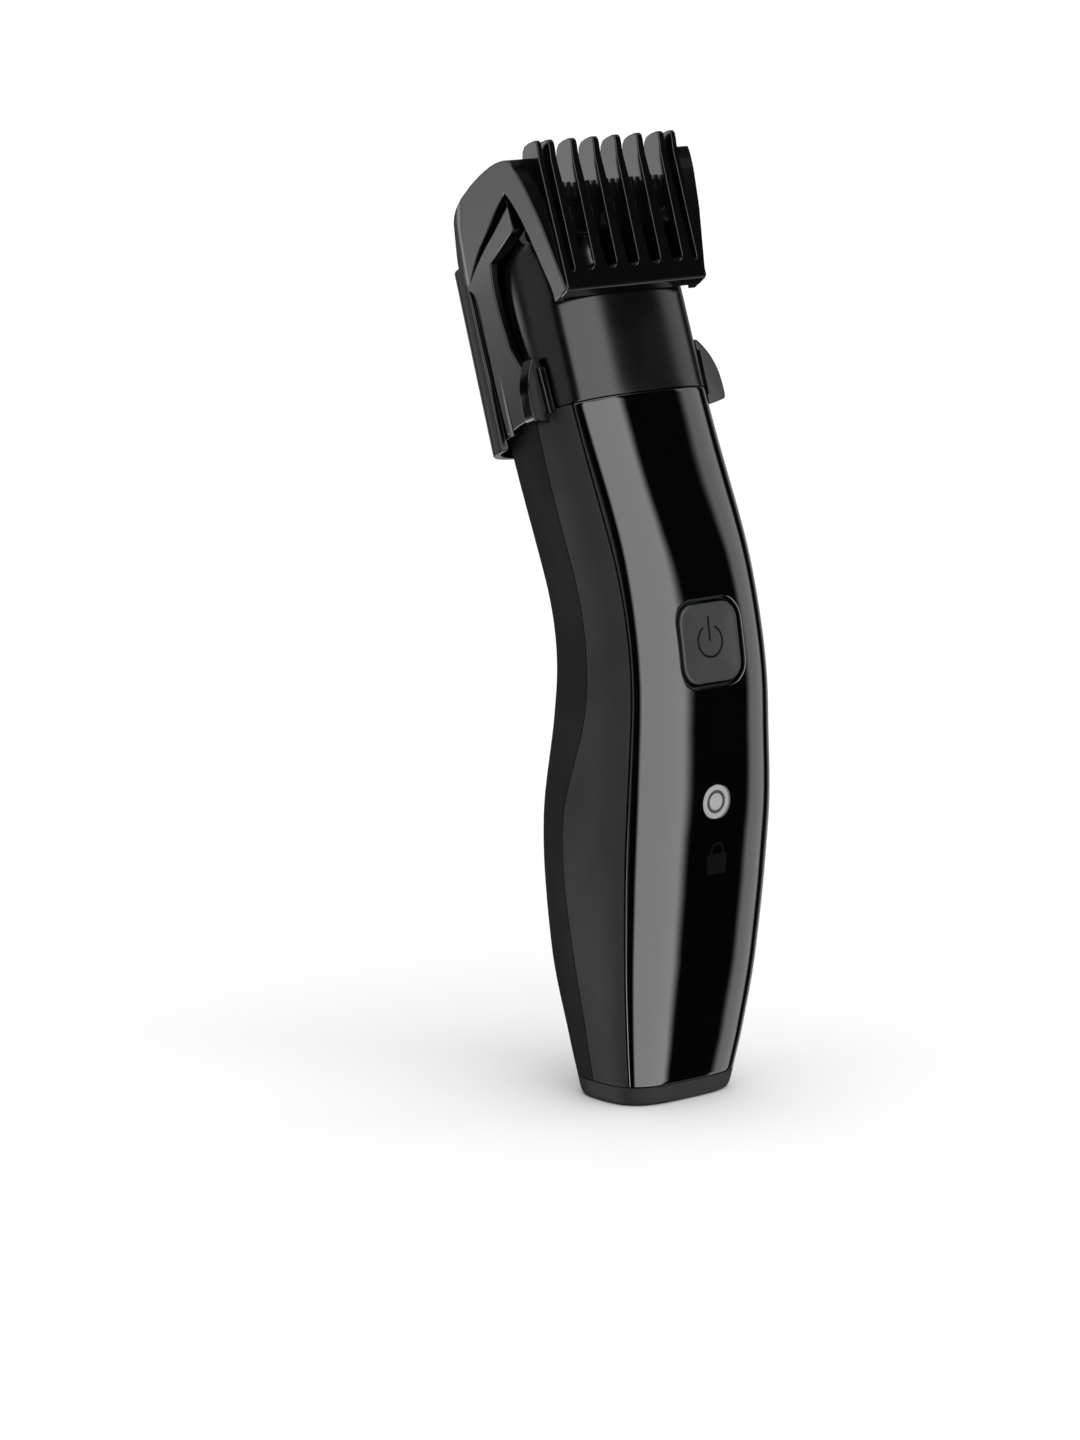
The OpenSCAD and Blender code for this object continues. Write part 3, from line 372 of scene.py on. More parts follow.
for name, node in nodes.items():
    node.data.materials.clear()
    node.data.materials.append(finishes[slot_of[name]])
print("finishes", len(finishes))

# %% [markdown]
# ## The section rule
#
# Every height of the handle has a half width, a depth in front of the axis and one behind it.
# A section is a squarish oval in front and a rounder one behind. The axis is straight up to
# the waist, bends through an arc and then leans back. With this rule a flat grid can be laid
# on the handle, and each of its corners knows its height, its angle round the section and
# its depth below the skin.

# %% Section rule, in millimetres and degrees
HANDLE_LENGTH = 134
LEAN = 20
LEAN_START = 78
LEAN_RADIUS = 80
FRONT_SQUARENESS = 3.4
BACK_SQUARENESS = 2.6
BOW_DEPTH, BOW_HEIGHT, BOW_REACH = 1.8, 85, 42


def lerp(a, b, k):
    return a + (b - a) * k


def between(a, b, shares):
    return [lerp(x, y, k) for x, y, k in zip(a, b, shares)]


FOOT = [0, 14.4, 10.8, 10.6]
BELLY = [54, 20.6, 17.2, 18.9]
WAIST = [92, 19.1, 15.2, 16.6]
NECK = [HANDLE_LENGTH, 19, 14.5, 16.4]
STATIONS = [FOOT, between(FOOT, BELLY, (0.22, 0.39, 0.33, 0.29)),
            between(FOOT, BELLY, (0.52, 0.76, 0.68, 0.76)), BELLY,
            between(BELLY, WAIST, (0.53, 0.5, 0.55, 0.7)), WAIST, [112, 19, 15.6, 15.8], NECK]


def smooth_through(points, place):
    """Value at a place, on a smooth curve through [place, value] points."""
    last = len(points) - 1
    i = max(j for j in range(last) if j == 0 or place >= points[j][0])
    (start, a), (end, b) = points[i], points[i + 1]

    def slope(j):
        low, high = points[max(j - 1, 0)], points[min(j + 1, last)]
        return (high[1] - low[1]) / (high[0] - low[0])

    h = end - start
    t = (place - start) / h
    return (a * (2 * t**3 - 3 * t**2 + 1) + slope(i) * h * (t**3 - 2 * t**2 + t)
            + b * (3 * t**2 - 2 * t**3) + slope(i + 1) * h * (t**3 - t**2))


SIZE_CURVES = {k: [(station[0], station[k]) for station in STATIONS] for k in (1, 2, 3)}


def size_at(s, k):
    """Half width (1), front depth (2) or back depth (3) at height s."""
    return smooth_through(SIZE_CURVES[k], s)


def bump_curve(s, middle, reach):
    return math.cos(math.pi / 2 * (s - middle) / reach) ** 2 if abs(s - middle) < reach else 0


def axis_at(s):
    """Place along Y and Z of the handle's axis at height s, and its lean in radians."""
    lean = min(max((s - LEAN_START) / LEAN_RADIUS, 0), math.radians(LEAN))
    arc_end = LEAN_START + LEAN_RADIUS * math.radians(LEAN)
    past = max(0, s - arc_end)
    y = LEAN_RADIUS * (1 - math.cos(lean)) + past * math.sin(lean)
    z = min(s, LEAN_START) + LEAN_RADIUS * math.sin(lean) + past * math.cos(lean)
    return y, z, lean


def outline_point(w, f, b, angle):
    """Point of a section at an angle in degrees: 0 is +X and -90 is the front."""
    c, n = math.cos(math.radians(angle)), math.sin(math.radians(angle))
    power = 2 / (FRONT_SQUARENESS if n < 0 else BACK_SQUARENESS)
    return (w * math.copysign(abs(c) ** power, c), (f if n < 0 else b) * math.copysign(abs(n) ** power, n))


def skin(s, angle, depth=0.0):
    """Point of the handle's skin, depth below the surface."""
    x, across = outline_point(*[size_at(s, k) - depth for k in (1, 2, 3)], angle)
    y, z, lean = axis_at(s)
    y -= BOW_DEPTH * bump_curve(s, BOW_HEIGHT, BOW_REACH)
    return Vector((x, y + across * math.cos(lean), z - across * math.sin(lean)))


def crease_angle(s, gap=0.0):
    """Angle where the side shell meets the rubber grip."""
    y = lerp(0.4, -1.4, s / HANDLE_LENGTH) + 4 * bump_curve(s, BELLY[0], 45 if s < BELLY[0] else 26) + gap
    if y >= 0:
        return math.degrees(math.asin((y / size_at(s, 3)) ** (BACK_SQUARENESS / 2)))
    return -math.degrees(math.asin((-y / size_at(s, 2)) ** (FRONT_SQUARENESS / 2)))


def face_frame(s):
    """Frame on the front skin at height s: +Y runs into the handle, Z up along the face."""
    low, high = skin(s - 7, -90), skin(s + 7, -90)
    tilt = math.atan2(high.y - low.y, high.z - low.z)
    return Matrix.Translation(skin(s, -90)) @ Matrix.Rotation(-tilt, 4, "X")


NECK_PLACE = Vector((0, *axis_at(HANDLE_LENGTH)[:2]))
head_frame = Matrix.Translation(NECK_PLACE) @ Matrix.Rotation(-math.radians(LEAN), 4, "X")

# %% [markdown]
# ## From grid to shell
#
# A shell starts as a flat grid from bmesh.ops.create_grid. Each corner is laid on the skin and
# keeps its height, angle and depth in layers. Extruding all faces then gives the inner wall,
# because the copies know where they are too. The sharp rims are bevelled last, so that they
# catch a thin line of light as a moulded edge does.

# %% Helpers for all pieces
def corner_layers(bm):
    return [bm.verts.layers.float.new(name) for name in ("height", "angle", "depth")]


def lay(vert, layers, s, angle, depth):
    for layer, value in zip(layers, (s, angle, depth)):
        vert[layer] = value
    vert.co = skin(s, angle, depth)


def sheet_on_skin(heights, columns):
    """Grid on the handle: columns(s) lists [angle, depth] across it at height s."""
    bm = bmesh.new()
    layers = corner_layers(bm)
    wide = len(columns(heights[0])) - 1
    tall = len(heights) - 1
    bmesh.ops.create_grid(bm, x_segments=wide, y_segments=tall, size=1)
    for vert in bm.verts:
        i = round((vert.co.x + 1) / 2 * wide)
        s = heights[round((vert.co.y + 1) / 2 * tall)]
        lay(vert, layers, s, *columns(s)[i])
    return bm, layers


def corners_in(geometry):
    return [item for item in geometry if isinstance(item, bmesh.types.BMVert)]


def give_wall(bm, layers, inner_depth):
    """Copies the whole sheet inwards and closes its rims."""
    made = bmesh.ops.extrude_face_region(bm, geom=bm.faces[:], use_keep_orig=True)["geom"]
    for vert in corners_in(made):
        lay(vert, layers, vert[layers[0]], vert[layers[1]], inner_depth)


def soften(bm, width, least=50, segments=2):
    """Bevels every edge sharper than least degrees."""
    bmesh.ops.recalc_face_normals(bm, faces=bm.faces)
    sharp = [e for e in bm.edges if len(e.link_faces) == 2 and e.calc_face_angle() > math.radians(least)]
    bmesh.ops.bevel(bm, geom=sharp, offset=width, segments=segments, profile=0.5, affect="EDGES",
                    clamp_overlap=True, material=-1)


def make_piece(name, bm, slot, body, *stands_for, material=None, crisp=40):
    """Object in metres from a mesh in millimetres, shaded smooth except across crisp edges."""
    bmesh.ops.recalc_face_normals(bm, faces=bm.faces)
    for face in bm.faces:
        face.smooth = True
    for edge in bm.edges:
        edge.smooth = len(edge.link_faces) != 2 or edge.calc_face_angle() < math.radians(crisp)
    bmesh.ops.scale(bm, vec=(MM, MM, MM), verts=bm.verts)
    mesh = bpy.data.meshes.new(name)
    bm.to_mesh(mesh)
    bm.free()
    piece = bpy.data.objects.new(name, mesh)
    bpy.context.scene.collection.objects.link(piece)
    mesh.materials.append(material or finishes[slot])
    weighted = piece.modifiers.new("weighted_normals", "WEIGHTED_NORMAL")
    weighted.keep_sharp = True
    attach(piece, body)
    if stands_for:
        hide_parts(*stands_for)
    print(name, len(mesh.polygons), "faces")
    return piece


def span(a, b, count, depth=0.0):
    return [(lerp(a, b, i / count), depth) for i in range(count + 1)]


def new_ring(bm, edges):
    """Extrudes a loop of edges and returns its new corners and edges."""
    made = bmesh.ops.extrude_edge_only(bm, edges=edges)["geom"]
    verts = corners_in(made)
    fresh = set(verts)
    return verts, [g for g in made if isinstance(g, bmesh.types.BMEdge) and set(g.verts) <= fresh]


# %% [markdown]
# ## Openings in a curved sheet
#
# A button opening could be cut with a boolean, but a mirror finish shows every odd triangle
# that a boolean leaves. Here a patch of the grid is deleted instead, and the border of the
# hole is extruded inwards in rings that turn step by step into the opening's outline.

# %% Openings
HALVINGS = 40


def rounded_edge(half_w, half_h, radius, angle):
    """Distance from the middle to a rounded rectangle, in the direction of an angle in radians."""
    c, n = abs(math.cos(angle)), abs(math.sin(angle))
    low, high = 0.0, 3 * max(half_w, half_h)
    for _ in range(HALVINGS):
        reach = (low + high) / 2
        x, z = reach * c - (half_w - radius), reach * n - (half_h - radius)
        inside = math.hypot(max(x, 0), max(z, 0)) < radius and max(x, z) < radius
        low, high = (reach, high) if inside else (low, reach)
    return low


def find_on_skin(place, x, z, depth):
    """Height and angle of the skin's point at x and z of a face frame."""
    back = place.inverted()
    low, high = 5.0, HANDLE_LENGTH - 1.0
    for _ in range(HALVINGS):
        s = (low + high) / 2
        share = min(1, abs(x) / (size_at(s, 1) - depth)) ** (FRONT_SQUARENESS / 2)
        angle = -math.degrees(math.acos(math.copysign(share, x)))
        if (back @ skin(s, angle, depth)).z < z:
            low = s
        else:
            high = s
    return s, angle


def open_hole(bm, layers, place, patch, outline, rings=6):
    """Turns a rectangular patch of the sheet into a smooth opening with that outline."""
    back = place.inverted()

    def offset(vert):
        return back @ vert.co

    doomed = []
    for face in bm.faces:
        middle = back @ face.calc_center_median()
        if abs(middle.x) < patch[0] and abs(middle.z) < patch[1]:
            doomed.append(face)
    depth = doomed[0].verts[0][layers[2]]
    bmesh.ops.delete(bm, geom=doomed, context="FACES")
    border = [e for e in bm.edges if e.is_boundary
              and all(abs(offset(v).x) < patch[0] + 2 and abs(offset(v).z) < patch[1] + 2 for v in e.verts)]
    base = [bm.verts.layers.float.new(name) for name in ("base_x", "base_z")]
    for vert in set(v for e in border for v in e.verts):
        vert[base[0]], _, vert[base[1]] = offset(vert)
    for k in range(1, rings + 1):
        verts, border = new_ring(bm, border)
        for vert in verts:
            x, z = vert[base[0]], vert[base[1]]
            angle = math.atan2(z, x)
            reach = lerp(math.hypot(x, z), outline(angle), k / rings)
            s, round_angle = find_on_skin(place, reach * math.cos(angle), reach * math.sin(angle), depth)
            lay(vert, layers, s, round_angle, depth)
    for layer in base:
        bm.verts.layers.float.remove(layer)


# %% [markdown]
# ## Gloss front panel
#
# One clear-coated black cover runs from the foot to the neck. It wraps over the front corners,
# and that turn is what makes the long soft bands of light in it.

# %% Gloss front panel
FOOT_CAP_HEIGHT = 4
PANEL_EDGE = -33
PANEL_STEP = 0.8
SEAM_ANGLE = 1.0
SEAM = 0.15
PANEL_THICK = 1.2
BUTTON_HEIGHT = HANDLE_LENGTH - 45.6
LIGHT_HEIGHT = BUTTON_HEIGHT - 28.7
BUTTON_W, BUTTON_H, BUTTON_R = 14.7, 15.2, 3.6
BUTTON_GAP = 0.9
LIGHT_RADIUS, LIGHT_INNER, DOT_RADIUS = 3.3, 2.25, 1.65

LIGHT_HOLE, LIGHT_PATCH = LIGHT_RADIUS + 0.03, LIGHT_RADIUS + 1.6

button_place = face_frame(BUTTON_HEIGHT)
light_place = face_frame(LIGHT_HEIGHT)


def heights(count, low=FOOT_CAP_HEIGHT, high=HANDLE_LENGTH):
    return [lerp(low, high, i / count) for i in range(count + 1)]


def button_hole(gap, radius):
    """Outline of the button's opening, gap wider than the keycap all round."""
    return lambda angle: rounded_edge(BUTTON_W / 2 + gap, BUTTON_H / 2 + gap, radius, angle)


def panel_columns(s):
    edge = PANEL_EDGE - PANEL_STEP - SEAM_ANGLE
    return span(edge, -180 - edge, 64)


bm, layers = sheet_on_skin(heights(170), panel_columns)
open_hole(bm, layers, button_place, (BUTTON_W / 2 + 2.4, BUTTON_H / 2 + 2.4),
          button_hole(BUTTON_GAP, BUTTON_R + BUTTON_GAP))
open_hole(bm, layers, light_place, (LIGHT_PATCH, LIGHT_PATCH), lambda angle: LIGHT_HOLE)
give_wall(bm, layers, PANEL_THICK)
soften(bm, 0.22, segments=3)
make_piece("gloss_panel", bm, "gloss_panel", "handle", "front_panel")

# %% [markdown]
# ## Satin side shell
#
# The front housing shows as two satin flanks, one on each side of the panel. Between them it
# dips under the panel, and that floor is the black bottom of the gap round the button.

# %% Satin side shell
HOUSING_WALL = 2.8


def housing_columns(s):
    crease = crease_angle(s)
    edge = PANEL_EDGE - PANEL_STEP
    return (span(crease, PANEL_EDGE, 14) + span(edge, -180 - edge, 40, PANEL_THICK + SEAM)
            + span(-180 - PANEL_EDGE, -180 - crease, 14))


bm, layers = sheet_on_skin(heights(130), housing_columns)
open_hole(bm, layers, button_place, (BUTTON_W / 2 + 1.6, BUTTON_H / 2 + 1.6),
          button_hole(BUTTON_GAP / 2, BUTTON_R), rings=3)
open_hole(bm, layers, light_place, (LIGHT_PATCH, LIGHT_PATCH), lambda angle: LIGHT_HOLE, rings=3)
give_wall(bm, layers, HOUSING_WALL)
soften(bm, 0.15)
make_piece("side_shell", bm, "satin_shell", "handle", "front_housing")

# %% [markdown]
# ## Rubber grip
#
# The back is a separate soft skin on the rear housing. It meets the side shell in a crease that
# swings forward at the belly, so its two long edges follow the same wandering line.

# %% Rubber grip
GRIP_THICK = 1.3


def grip_columns(s):
    crease = crease_angle(s, SEAM)
    return span(180 - crease, crease, 72)


bm, layers = sheet_on_skin(heights(130), grip_columns)
give_wall(bm, layers, GRIP_THICK)
soften(bm, 0.15)
make_piece("rubber_grip", bm, "grip_rubber", "handle", "back_grip")

# %% [markdown]
# ## Foot cap
#
# The cap closes the handle and holds the charging port. A lathe can't make it, because the port
# is round and the handle isn't. So one loop of numbered corners is extruded ring by ring: out of
# the port, across the sole, round its edge and up the side. A function says for each ring where
# a corner of a given number goes. The button, the light and the head are made the same way.

# %% Bodies made of rings
SEGMENTS = 144


def through_rings(rings, closed=True, count=SEGMENTS):
    """Body skinned through rings. A closed one ends where it began, another is capped."""
    bm = bmesh.new()
    number = bm.verts.layers.int.new("number")
    bmesh.ops.create_circle(bm, cap_ends=False, segments=count, radius=1)
    for vert in bm.verts:
        vert[number] = round(math.atan2(vert.co.y, vert.co.x) / (2 * math.pi) * count) % count
    verts, loop = bm.verts[:], bm.edges[:]
    first = loop
    for step, ring in enumerate(rings + rings[:1] if closed else rings):
        if step:
            verts, loop = new_ring(bm, loop)
        for vert in verts:
            vert.co = ring(vert[number])
    if closed:
        bmesh.ops.remove_doubles(bm, verts=bm.verts, dist=0.0005)
    else:
        for ends in (loop, first):
            bmesh.ops.contextual_create(bm, geom=ends)
    return bm


# %% Foot cap
PORT_RADIUS, PORT_DEPTH, PORT_Y = 3.4, 3.0, 3.6
PORT_EDGE, PORT_WALL = 0.3, 3
SOLE = [(0, 0.8), (0.08, 0.54), (0.3, 0.3), (0.6, 0.14), (1.0, 0.06), (1.6, 0), (3.85, 0), (3.85, 3.2),
        (9.0, 3.2)]


def port_ring(radius, z):
    def point(index):
        a = 2 * math.pi * index / SEGMENTS
        return Vector((radius * math.cos(a), PORT_Y + radius * math.sin(a), z))
    return point


def sole_ring(height, depth, share=1.0):
    def point(index):
        outer = skin(height, 360 * index / SEGMENTS, depth)
        return port_ring(PORT_RADIUS + PORT_EDGE, 0)(index).lerp(outer, share)
    return point


rings = [port_ring(PORT_RADIUS, PORT_DEPTH), port_ring(PORT_RADIUS, PORT_EDGE),
         port_ring(PORT_RADIUS + 0.3 * PORT_EDGE, 0.3 * PORT_EDGE), port_ring(PORT_RADIUS + PORT_EDGE, 0)]
rings += [sole_ring(0, SOLE[0][1], share) for share in (0.33, 0.66)]
rings += [sole_ring(height, depth) for height, depth in SOLE]
rings += [port_ring(PORT_RADIUS + PORT_WALL, z) for z in (SOLE[-1][0], PORT_DEPTH)]
make_piece("foot_cap", through_rings(rings), "satin_shell", "handle", "bottom_cap")

# %% [markdown]
# ## Power button
#
# The keycap is a rounded square with a soft rim and a slightly dished face. It is built from
# its outline inwards, ring by ring. A thin power sign lies in the dish: a near-black line whose
# colour is painted shade, standing in for an engraved groove.

# %% Power button
# Each point is [inset from the outline, depth]; the first is the skirt's hidden foot
CAP_PROFILE = [(0, 1.9), (0, 0.75), (0.05, 0.55), (0.16, 0.41), (0.32, 0.35), (0.6, 0.34), (1.2, 0.38),
               (2.2, 0.44), (3.4, 0.49), (4.8, 0.53), (6.2, 0.55)]
CAP_LEAST_RADIUS = 0.5


def cap_ring(inset, depth):
    radius = max(BUTTON_R - inset, CAP_LEAST_RADIUS)

    def point(index):
        angle = 2 * math.pi * index / SEGMENTS
        reach = rounded_edge(BUTTON_W / 2 - inset, BUTTON_H / 2 - inset, radius, angle)
        return button_place @ Vector((reach * math.cos(angle), depth, reach * math.sin(angle)))
    return point


cap = through_rings([cap_ring(inset, depth) for inset, depth in CAP_PROFILE], closed=False)
make_piece("keycap", cap, "keycap", "button", "power_button")

# %% [markdown]
# ## Signs in thin line
#
# The power sign is one thin dark line: a ring with a gap, and a bar. Its near-black colour is
# painted shade, standing in for the shadow inside an engraved groove. A texture would blur close
# up, so the line is a mesh. One short edge is extruded from point to point and turned square to
# the line at each of them, and the strip then gets a thickness.

# %% Signs in thin line
def line_strip(bm, points, width, place, depth):
    """A flat strip along points [x, z] of a face frame, made by extruding one edge."""
    edge = None
    for i, (x, z) in enumerate(points):
        ahead = points[min(i + 1, len(points) - 1)]
        behind = points[max(i - 1, 0)]
        along = Vector((ahead[0] - behind[0], ahead[1] - behind[1])).normalized()
        side = Vector((-along.y, along.x)) * width / 2
        corners = [place @ Vector((x + k * side.x, depth(x, z), z + k * side.y)) for k in (1, -1)]
        if edge is None:
            verts = [bm.verts.new(c) for c in corners]
            edge = bm.edges.new(verts)
            continue
        made = bmesh.ops.extrude_edge_only(bm, edges=[edge])["geom"]
        new_verts = corners_in(made)
        pairs = {}
        for vert in new_verts:
            old = next(e.other_vert(vert) for e in vert.link_edges if e.other_vert(vert) not in new_verts)
            pairs[vert] = verts.index(old)
        for vert, index in pairs.items():
            vert.co = corners[index]
        verts = sorted(new_verts, key=lambda v: pairs[v])
        edge = next(g for g in made if isinstance(g, bmesh.types.BMEdge) and set(g.verts) == set(verts))


def arc(radius, start, end, count=40, middle=(0, 0)):
    angles = [math.radians(lerp(start, end, i / count)) for i in range(count + 1)]
    return [(middle[0] + radius * math.cos(a), middle[1] + radius * math.sin(a)) for a in angles]


def cap_depth(x, z):
    inset = min(BUTTON_W / 2 - abs(x), BUTTON_H / 2 - abs(z))
    for (i0, d0), (i1, d1) in zip(CAP_PROFILE, CAP_PROFILE[1:]):
        if i0 <= inset <= i1:
            return lerp(d0, d1, (inset - i0) / (i1 - i0)) - SIGN_PROUD
    return CAP_PROFILE[-1][1] - SIGN_PROUD


SIGN_PROUD = 0.02
SIGN_LIFT, SIGN_RADIUS, SIGN_BAR, SIGN_LINE, SIGN_THICK = 0.3, 3.05, 4.75, 0.42, 0.03
SIGN_GAP = (118, 422)
# The sign's near-black colour is painted shade: it stands in for the shadow inside an engraved groove, on a
# thin strip laid on the dish
painted_groove_shade = plastic("painted_groove_shade_line", grey(0.001), grey(0.0015), 0.5, bump=0, Specular_IOR_Level=0.1)
bm = bmesh.new()
line_strip(bm, arc(SIGN_RADIUS, *SIGN_GAP, middle=(0, SIGN_LIFT)), SIGN_LINE, button_place, cap_depth)
line_strip(bm, [(0, SIGN_LIFT + SIGN_BAR * i / 8) for i in range(9)], SIGN_LINE, button_place, cap_depth)
bmesh.ops.solidify(bm, geom=bm.faces[:], thickness=SIGN_THICK)
make_piece("power_sign", bm, "keycap", "button", material=painted_groove_shade)

# %% [markdown]
# ## Status light
#
# A frosted ring and a frosted dot sit flush in the panel with a dark ring between them.
# Each is one circle, extruded through the profile of a rounded disc or ring.

# %% Status light
LIGHT_SEGMENTS = 96
LIGHT_FOOT, DOT_FOOT, LIGHT_GAP = 4.0, 5.8, 0.02


def turned(profile, closed=True):
    """Body turned about the light's own axis, from [radius, depth] points."""
    def ring(radius, depth):
        def point(index):
            a = 2 * math.pi * index / LIGHT_SEGMENTS
            return light_place @ Vector((radius * math.cos(a), depth, radius * math.sin(a)))
        return point
    return through_rings([ring(*at) for at in profile], closed, LIGHT_SEGMENTS)


ring_bore, mask_bore = LIGHT_INNER + LIGHT_GAP, DOT_RADIUS + LIGHT_GAP
ring_profile = [(ring_bore, LIGHT_FOOT), (ring_bore, 0.16), (ring_bore + 0.1, 0.05),
                (LIGHT_RADIUS - 0.12, 0.05), (LIGHT_RADIUS, 0.16), (LIGHT_RADIUS, LIGHT_FOOT)]
mask_profile = [(mask_bore, LIGHT_FOOT), (mask_bore, 0.12), (LIGHT_INNER, 0.12), (LIGHT_INNER, LIGHT_FOOT)]
dot_profile = [(DOT_RADIUS, DOT_FOOT), (DOT_RADIUS, 0.15), (DOT_RADIUS - 0.1, 0.05), (DOT_RADIUS / 2, 0.03)]
make_piece("light_frost_ring", turned(ring_profile), "light", "handle", "light_ring")
make_piece("light_dark_ring", turned(mask_profile), "gloss_panel", "handle", "light_mask",
           material=finishes["chips"])
make_piece("light_dot", turned(dot_profile, closed=False), "light", "handle", "light_pipe")

# %% [markdown]
# ## Lock sign
#
# A small padlock is printed on the panel below the light, in a grey barely lighter than the
# gloss. It is a real film a few hundredths of a millimetre thick, laid on the curved skin.

# %% Lock sign
LOCK_HEIGHT, LOCK_RIGHT = 48.4, 0.75
LOCK_W, LOCK_FOOT, LOCK_TOP, SHACKLE_R, SHACKLE_Z, LOCK_LINE = 4.9, -3, 1, 1.45, 1.6, 0.45
FILM_LIFT, FILM_THICK = 0.015, 0.02
lock_place = face_frame(LOCK_HEIGHT) @ Matrix.Translation((LOCK_RIGHT, 0, 0))


def panel_surface(x, z):
    s, angle = find_on_skin(lock_place, x, z, 0)
    return (lock_place.inverted() @ skin(s, angle, 0)).y - FILM_LIFT


lock_ink = plastic("lock_print", grey(0.0025), grey(0.003), 0.3, bump=0, Specular_IOR_Level=0.05)
bm = bmesh.new()
line_strip(bm, [(0, lerp(LOCK_FOOT, LOCK_TOP, i / 10)) for i in range(11)], LOCK_W, lock_place, panel_surface)
shackle = [(SHACKLE_R, LOCK_TOP)] + arc(SHACKLE_R, 0, 180, 20, (0, SHACKLE_Z)) + [(-SHACKLE_R, LOCK_TOP)]
line_strip(bm, shackle, LOCK_LINE, lock_place, panel_surface)
bmesh.ops.solidify(bm, geom=bm.faces[:], thickness=FILM_THICK)
make_piece("lock_sign", bm, "gloss_panel", "handle", material=lock_ink)

# %% [markdown]
# ## Cutter head
#
# The head is a satin cap: a straight collar that continues the handle, and a roof that rolls
# over to the narrow opening where the blades stand. One loop of edges is extruded up the
# outside, over the lip and down the inside.

# %% Cutter head
COLLAR_H, HEAD_H = 20, 32
RIM_Z, RIM_H, RIM_WALL, HEAD_WALL = 0.15, 6.5, 3.35, 1.6
FRONT_TOP = 11.5
ROOF_W = 1.6
RISE_FROM = -7.7
SHARES = (0, 0.2, 0.4, 0.6, 0.8, 1)
BACK_EDGE = list(zip(SHARES, (NECK[3], 16.2, 15, 12.2, 7.2, -2.8)))
BACK_RISE = list(zip(SHARES, (2, 6, 8, 8.6, 8.6, 8.5)))
ROOF_STEPS = 30


def head_ring(z, k, depth, rise=0.0):
    """Ring of the head: level in front of the blades, climbing behind them by rise at its back."""
    front = -lerp(NECK[2], FRONT_TOP, k)
    back = smooth_through(BACK_EDGE, k)
    middle = lerp(0, (front + back) / 2, k)
    half = NECK[1] - ROOF_W * k * k

    def point(index):
        angle = 360 * index / SEGMENTS
        x, y = outline_point(half - depth, middle - front - depth, back - middle - depth, angle)
        share = max(0, (middle + y - RISE_FROM) / (back - RISE_FROM))
        climb = rise * share * share * 1.15 / (share + 0.15)
        return head_frame @ Vector((x, middle + y, z + climb))
    return point


def roof_ring(i, depth):
    k = i / ROOF_STEPS
    return head_ring(lerp(COLLAR_H, HEAD_H, k), k, depth, smooth_through(BACK_RISE, k))


EDGE, COLLAR_STEPS, COLLAR_RISE = 0.3, 12, 2
outer = [head_ring(RIM_Z, 0, EDGE), head_ring(RIM_Z + 0.09, 0, 0.09), head_ring(RIM_Z + EDGE, 0, 0)]
outer += [head_ring(lerp(RIM_Z + EDGE, COLLAR_H, i / COLLAR_STEPS), 0, 0, COLLAR_RISE * i / COLLAR_STEPS)
          for i in range(1, COLLAR_STEPS)]
outer += [roof_ring(i, 0) for i in range(ROOF_STEPS + 1)]
inner = [roof_ring(i, HEAD_WALL) for i in range(ROOF_STEPS, -1, -1)]
inner += [head_ring(RIM_H + 0.8, 0, HEAD_WALL), head_ring(RIM_H, 0, RIM_WALL), head_ring(RIM_Z, 0, RIM_WALL)]
make_piece("head_cap", through_rings(outer + inner), "head_satin", "head", "head_housing")

# %% [markdown]
# ## Comb plates
#
# A moulded comb is a set of thin plates. Each plate starts as one flat outline, extruded to
# its thickness and bevelled while it is still flat, because a bevel is cleanest there. Then
# bisect_plane rules lines across it, and the ruled plate is bent into its real form.

# %% Flat plates that can be bent
def rounded(outline, sharp=35, rounds=2):
    """Cuts the blunt corners of an outline so that they read as curves."""
    for _ in range(rounds):
        points = []
        for i, here in enumerate(outline):
            before, after = Vector(outline[i - 1]), Vector(outline[(i + 1) % len(outline)])
            here = Vector(here)
            turn = (here - before).angle(after - here)
            if math.radians(6) < turn < math.radians(sharp):
                points += [here.lerp(before, 0.25), here.lerp(after, 0.25)]
            else:
                points.append(here)
        outline = points
    return outline


def flat_plate(outline, thickness, edge=0.2, segments=2):
    """Closed plate: its outline lies in YZ at X 0, and its inner face at X -thickness."""
    bm = bmesh.new()
    face = bm.faces.new([bm.verts.new((0, a, b)) for a, b in outline])
    made = bmesh.ops.extrude_face_region(bm, geom=[face], use_keep_orig=True)["geom"]
    bmesh.ops.translate(bm, vec=(-thickness, 0, 0), verts=corners_in(made))
    soften(bm, edge, least=30, segments=segments)
    return bm


def rule_lines(bm, axis, places):
    """Cuts the whole body along planes square to an axis, without opening it."""
    normal = Vector([1.0 if i == axis else 0.0 for i in range(3)])
    for place in places:
        bmesh.ops.bisect_plane(bm, geom=bm.verts[:] + bm.edges[:] + bm.faces[:], plane_co=normal * place,
                               plane_no=normal, dist=0.0005)


def spaced(low, high, step):
    return [low + step * i for i in range(int((high - low) / step) + 1)]


def add_mirrored(bm):
    made = bmesh.ops.duplicate(bm, geom=bm.verts[:] + bm.edges[:] + bm.faces[:])["geom"]
    bmesh.ops.scale(bm, vec=(-1, 1, 1), verts=corners_in(made))
    bmesh.ops.reverse_faces(bm, faces=[g for g in made if isinstance(g, bmesh.types.BMFace)])


def joined(bodies):
    total = bmesh.new()
    for body in bodies:
        part = bpy.data.meshes.new("part")
        body.to_mesh(part)
        body.free()
        total.from_mesh(part)
        bpy.data.meshes.remove(part)
    return total


def along(points, place):
    """Straight-line value between [place, value] points."""
    for (a, va), (b, vb) in zip(points, points[1:]):
        if place <= b:
            return lerp(va, vb, max(0, (place - a) / (b - a)))
    return points[-1][1]


def ease(value):
    value = min(max(value, 0), 1)
    return value * value * (3 - 2 * value)


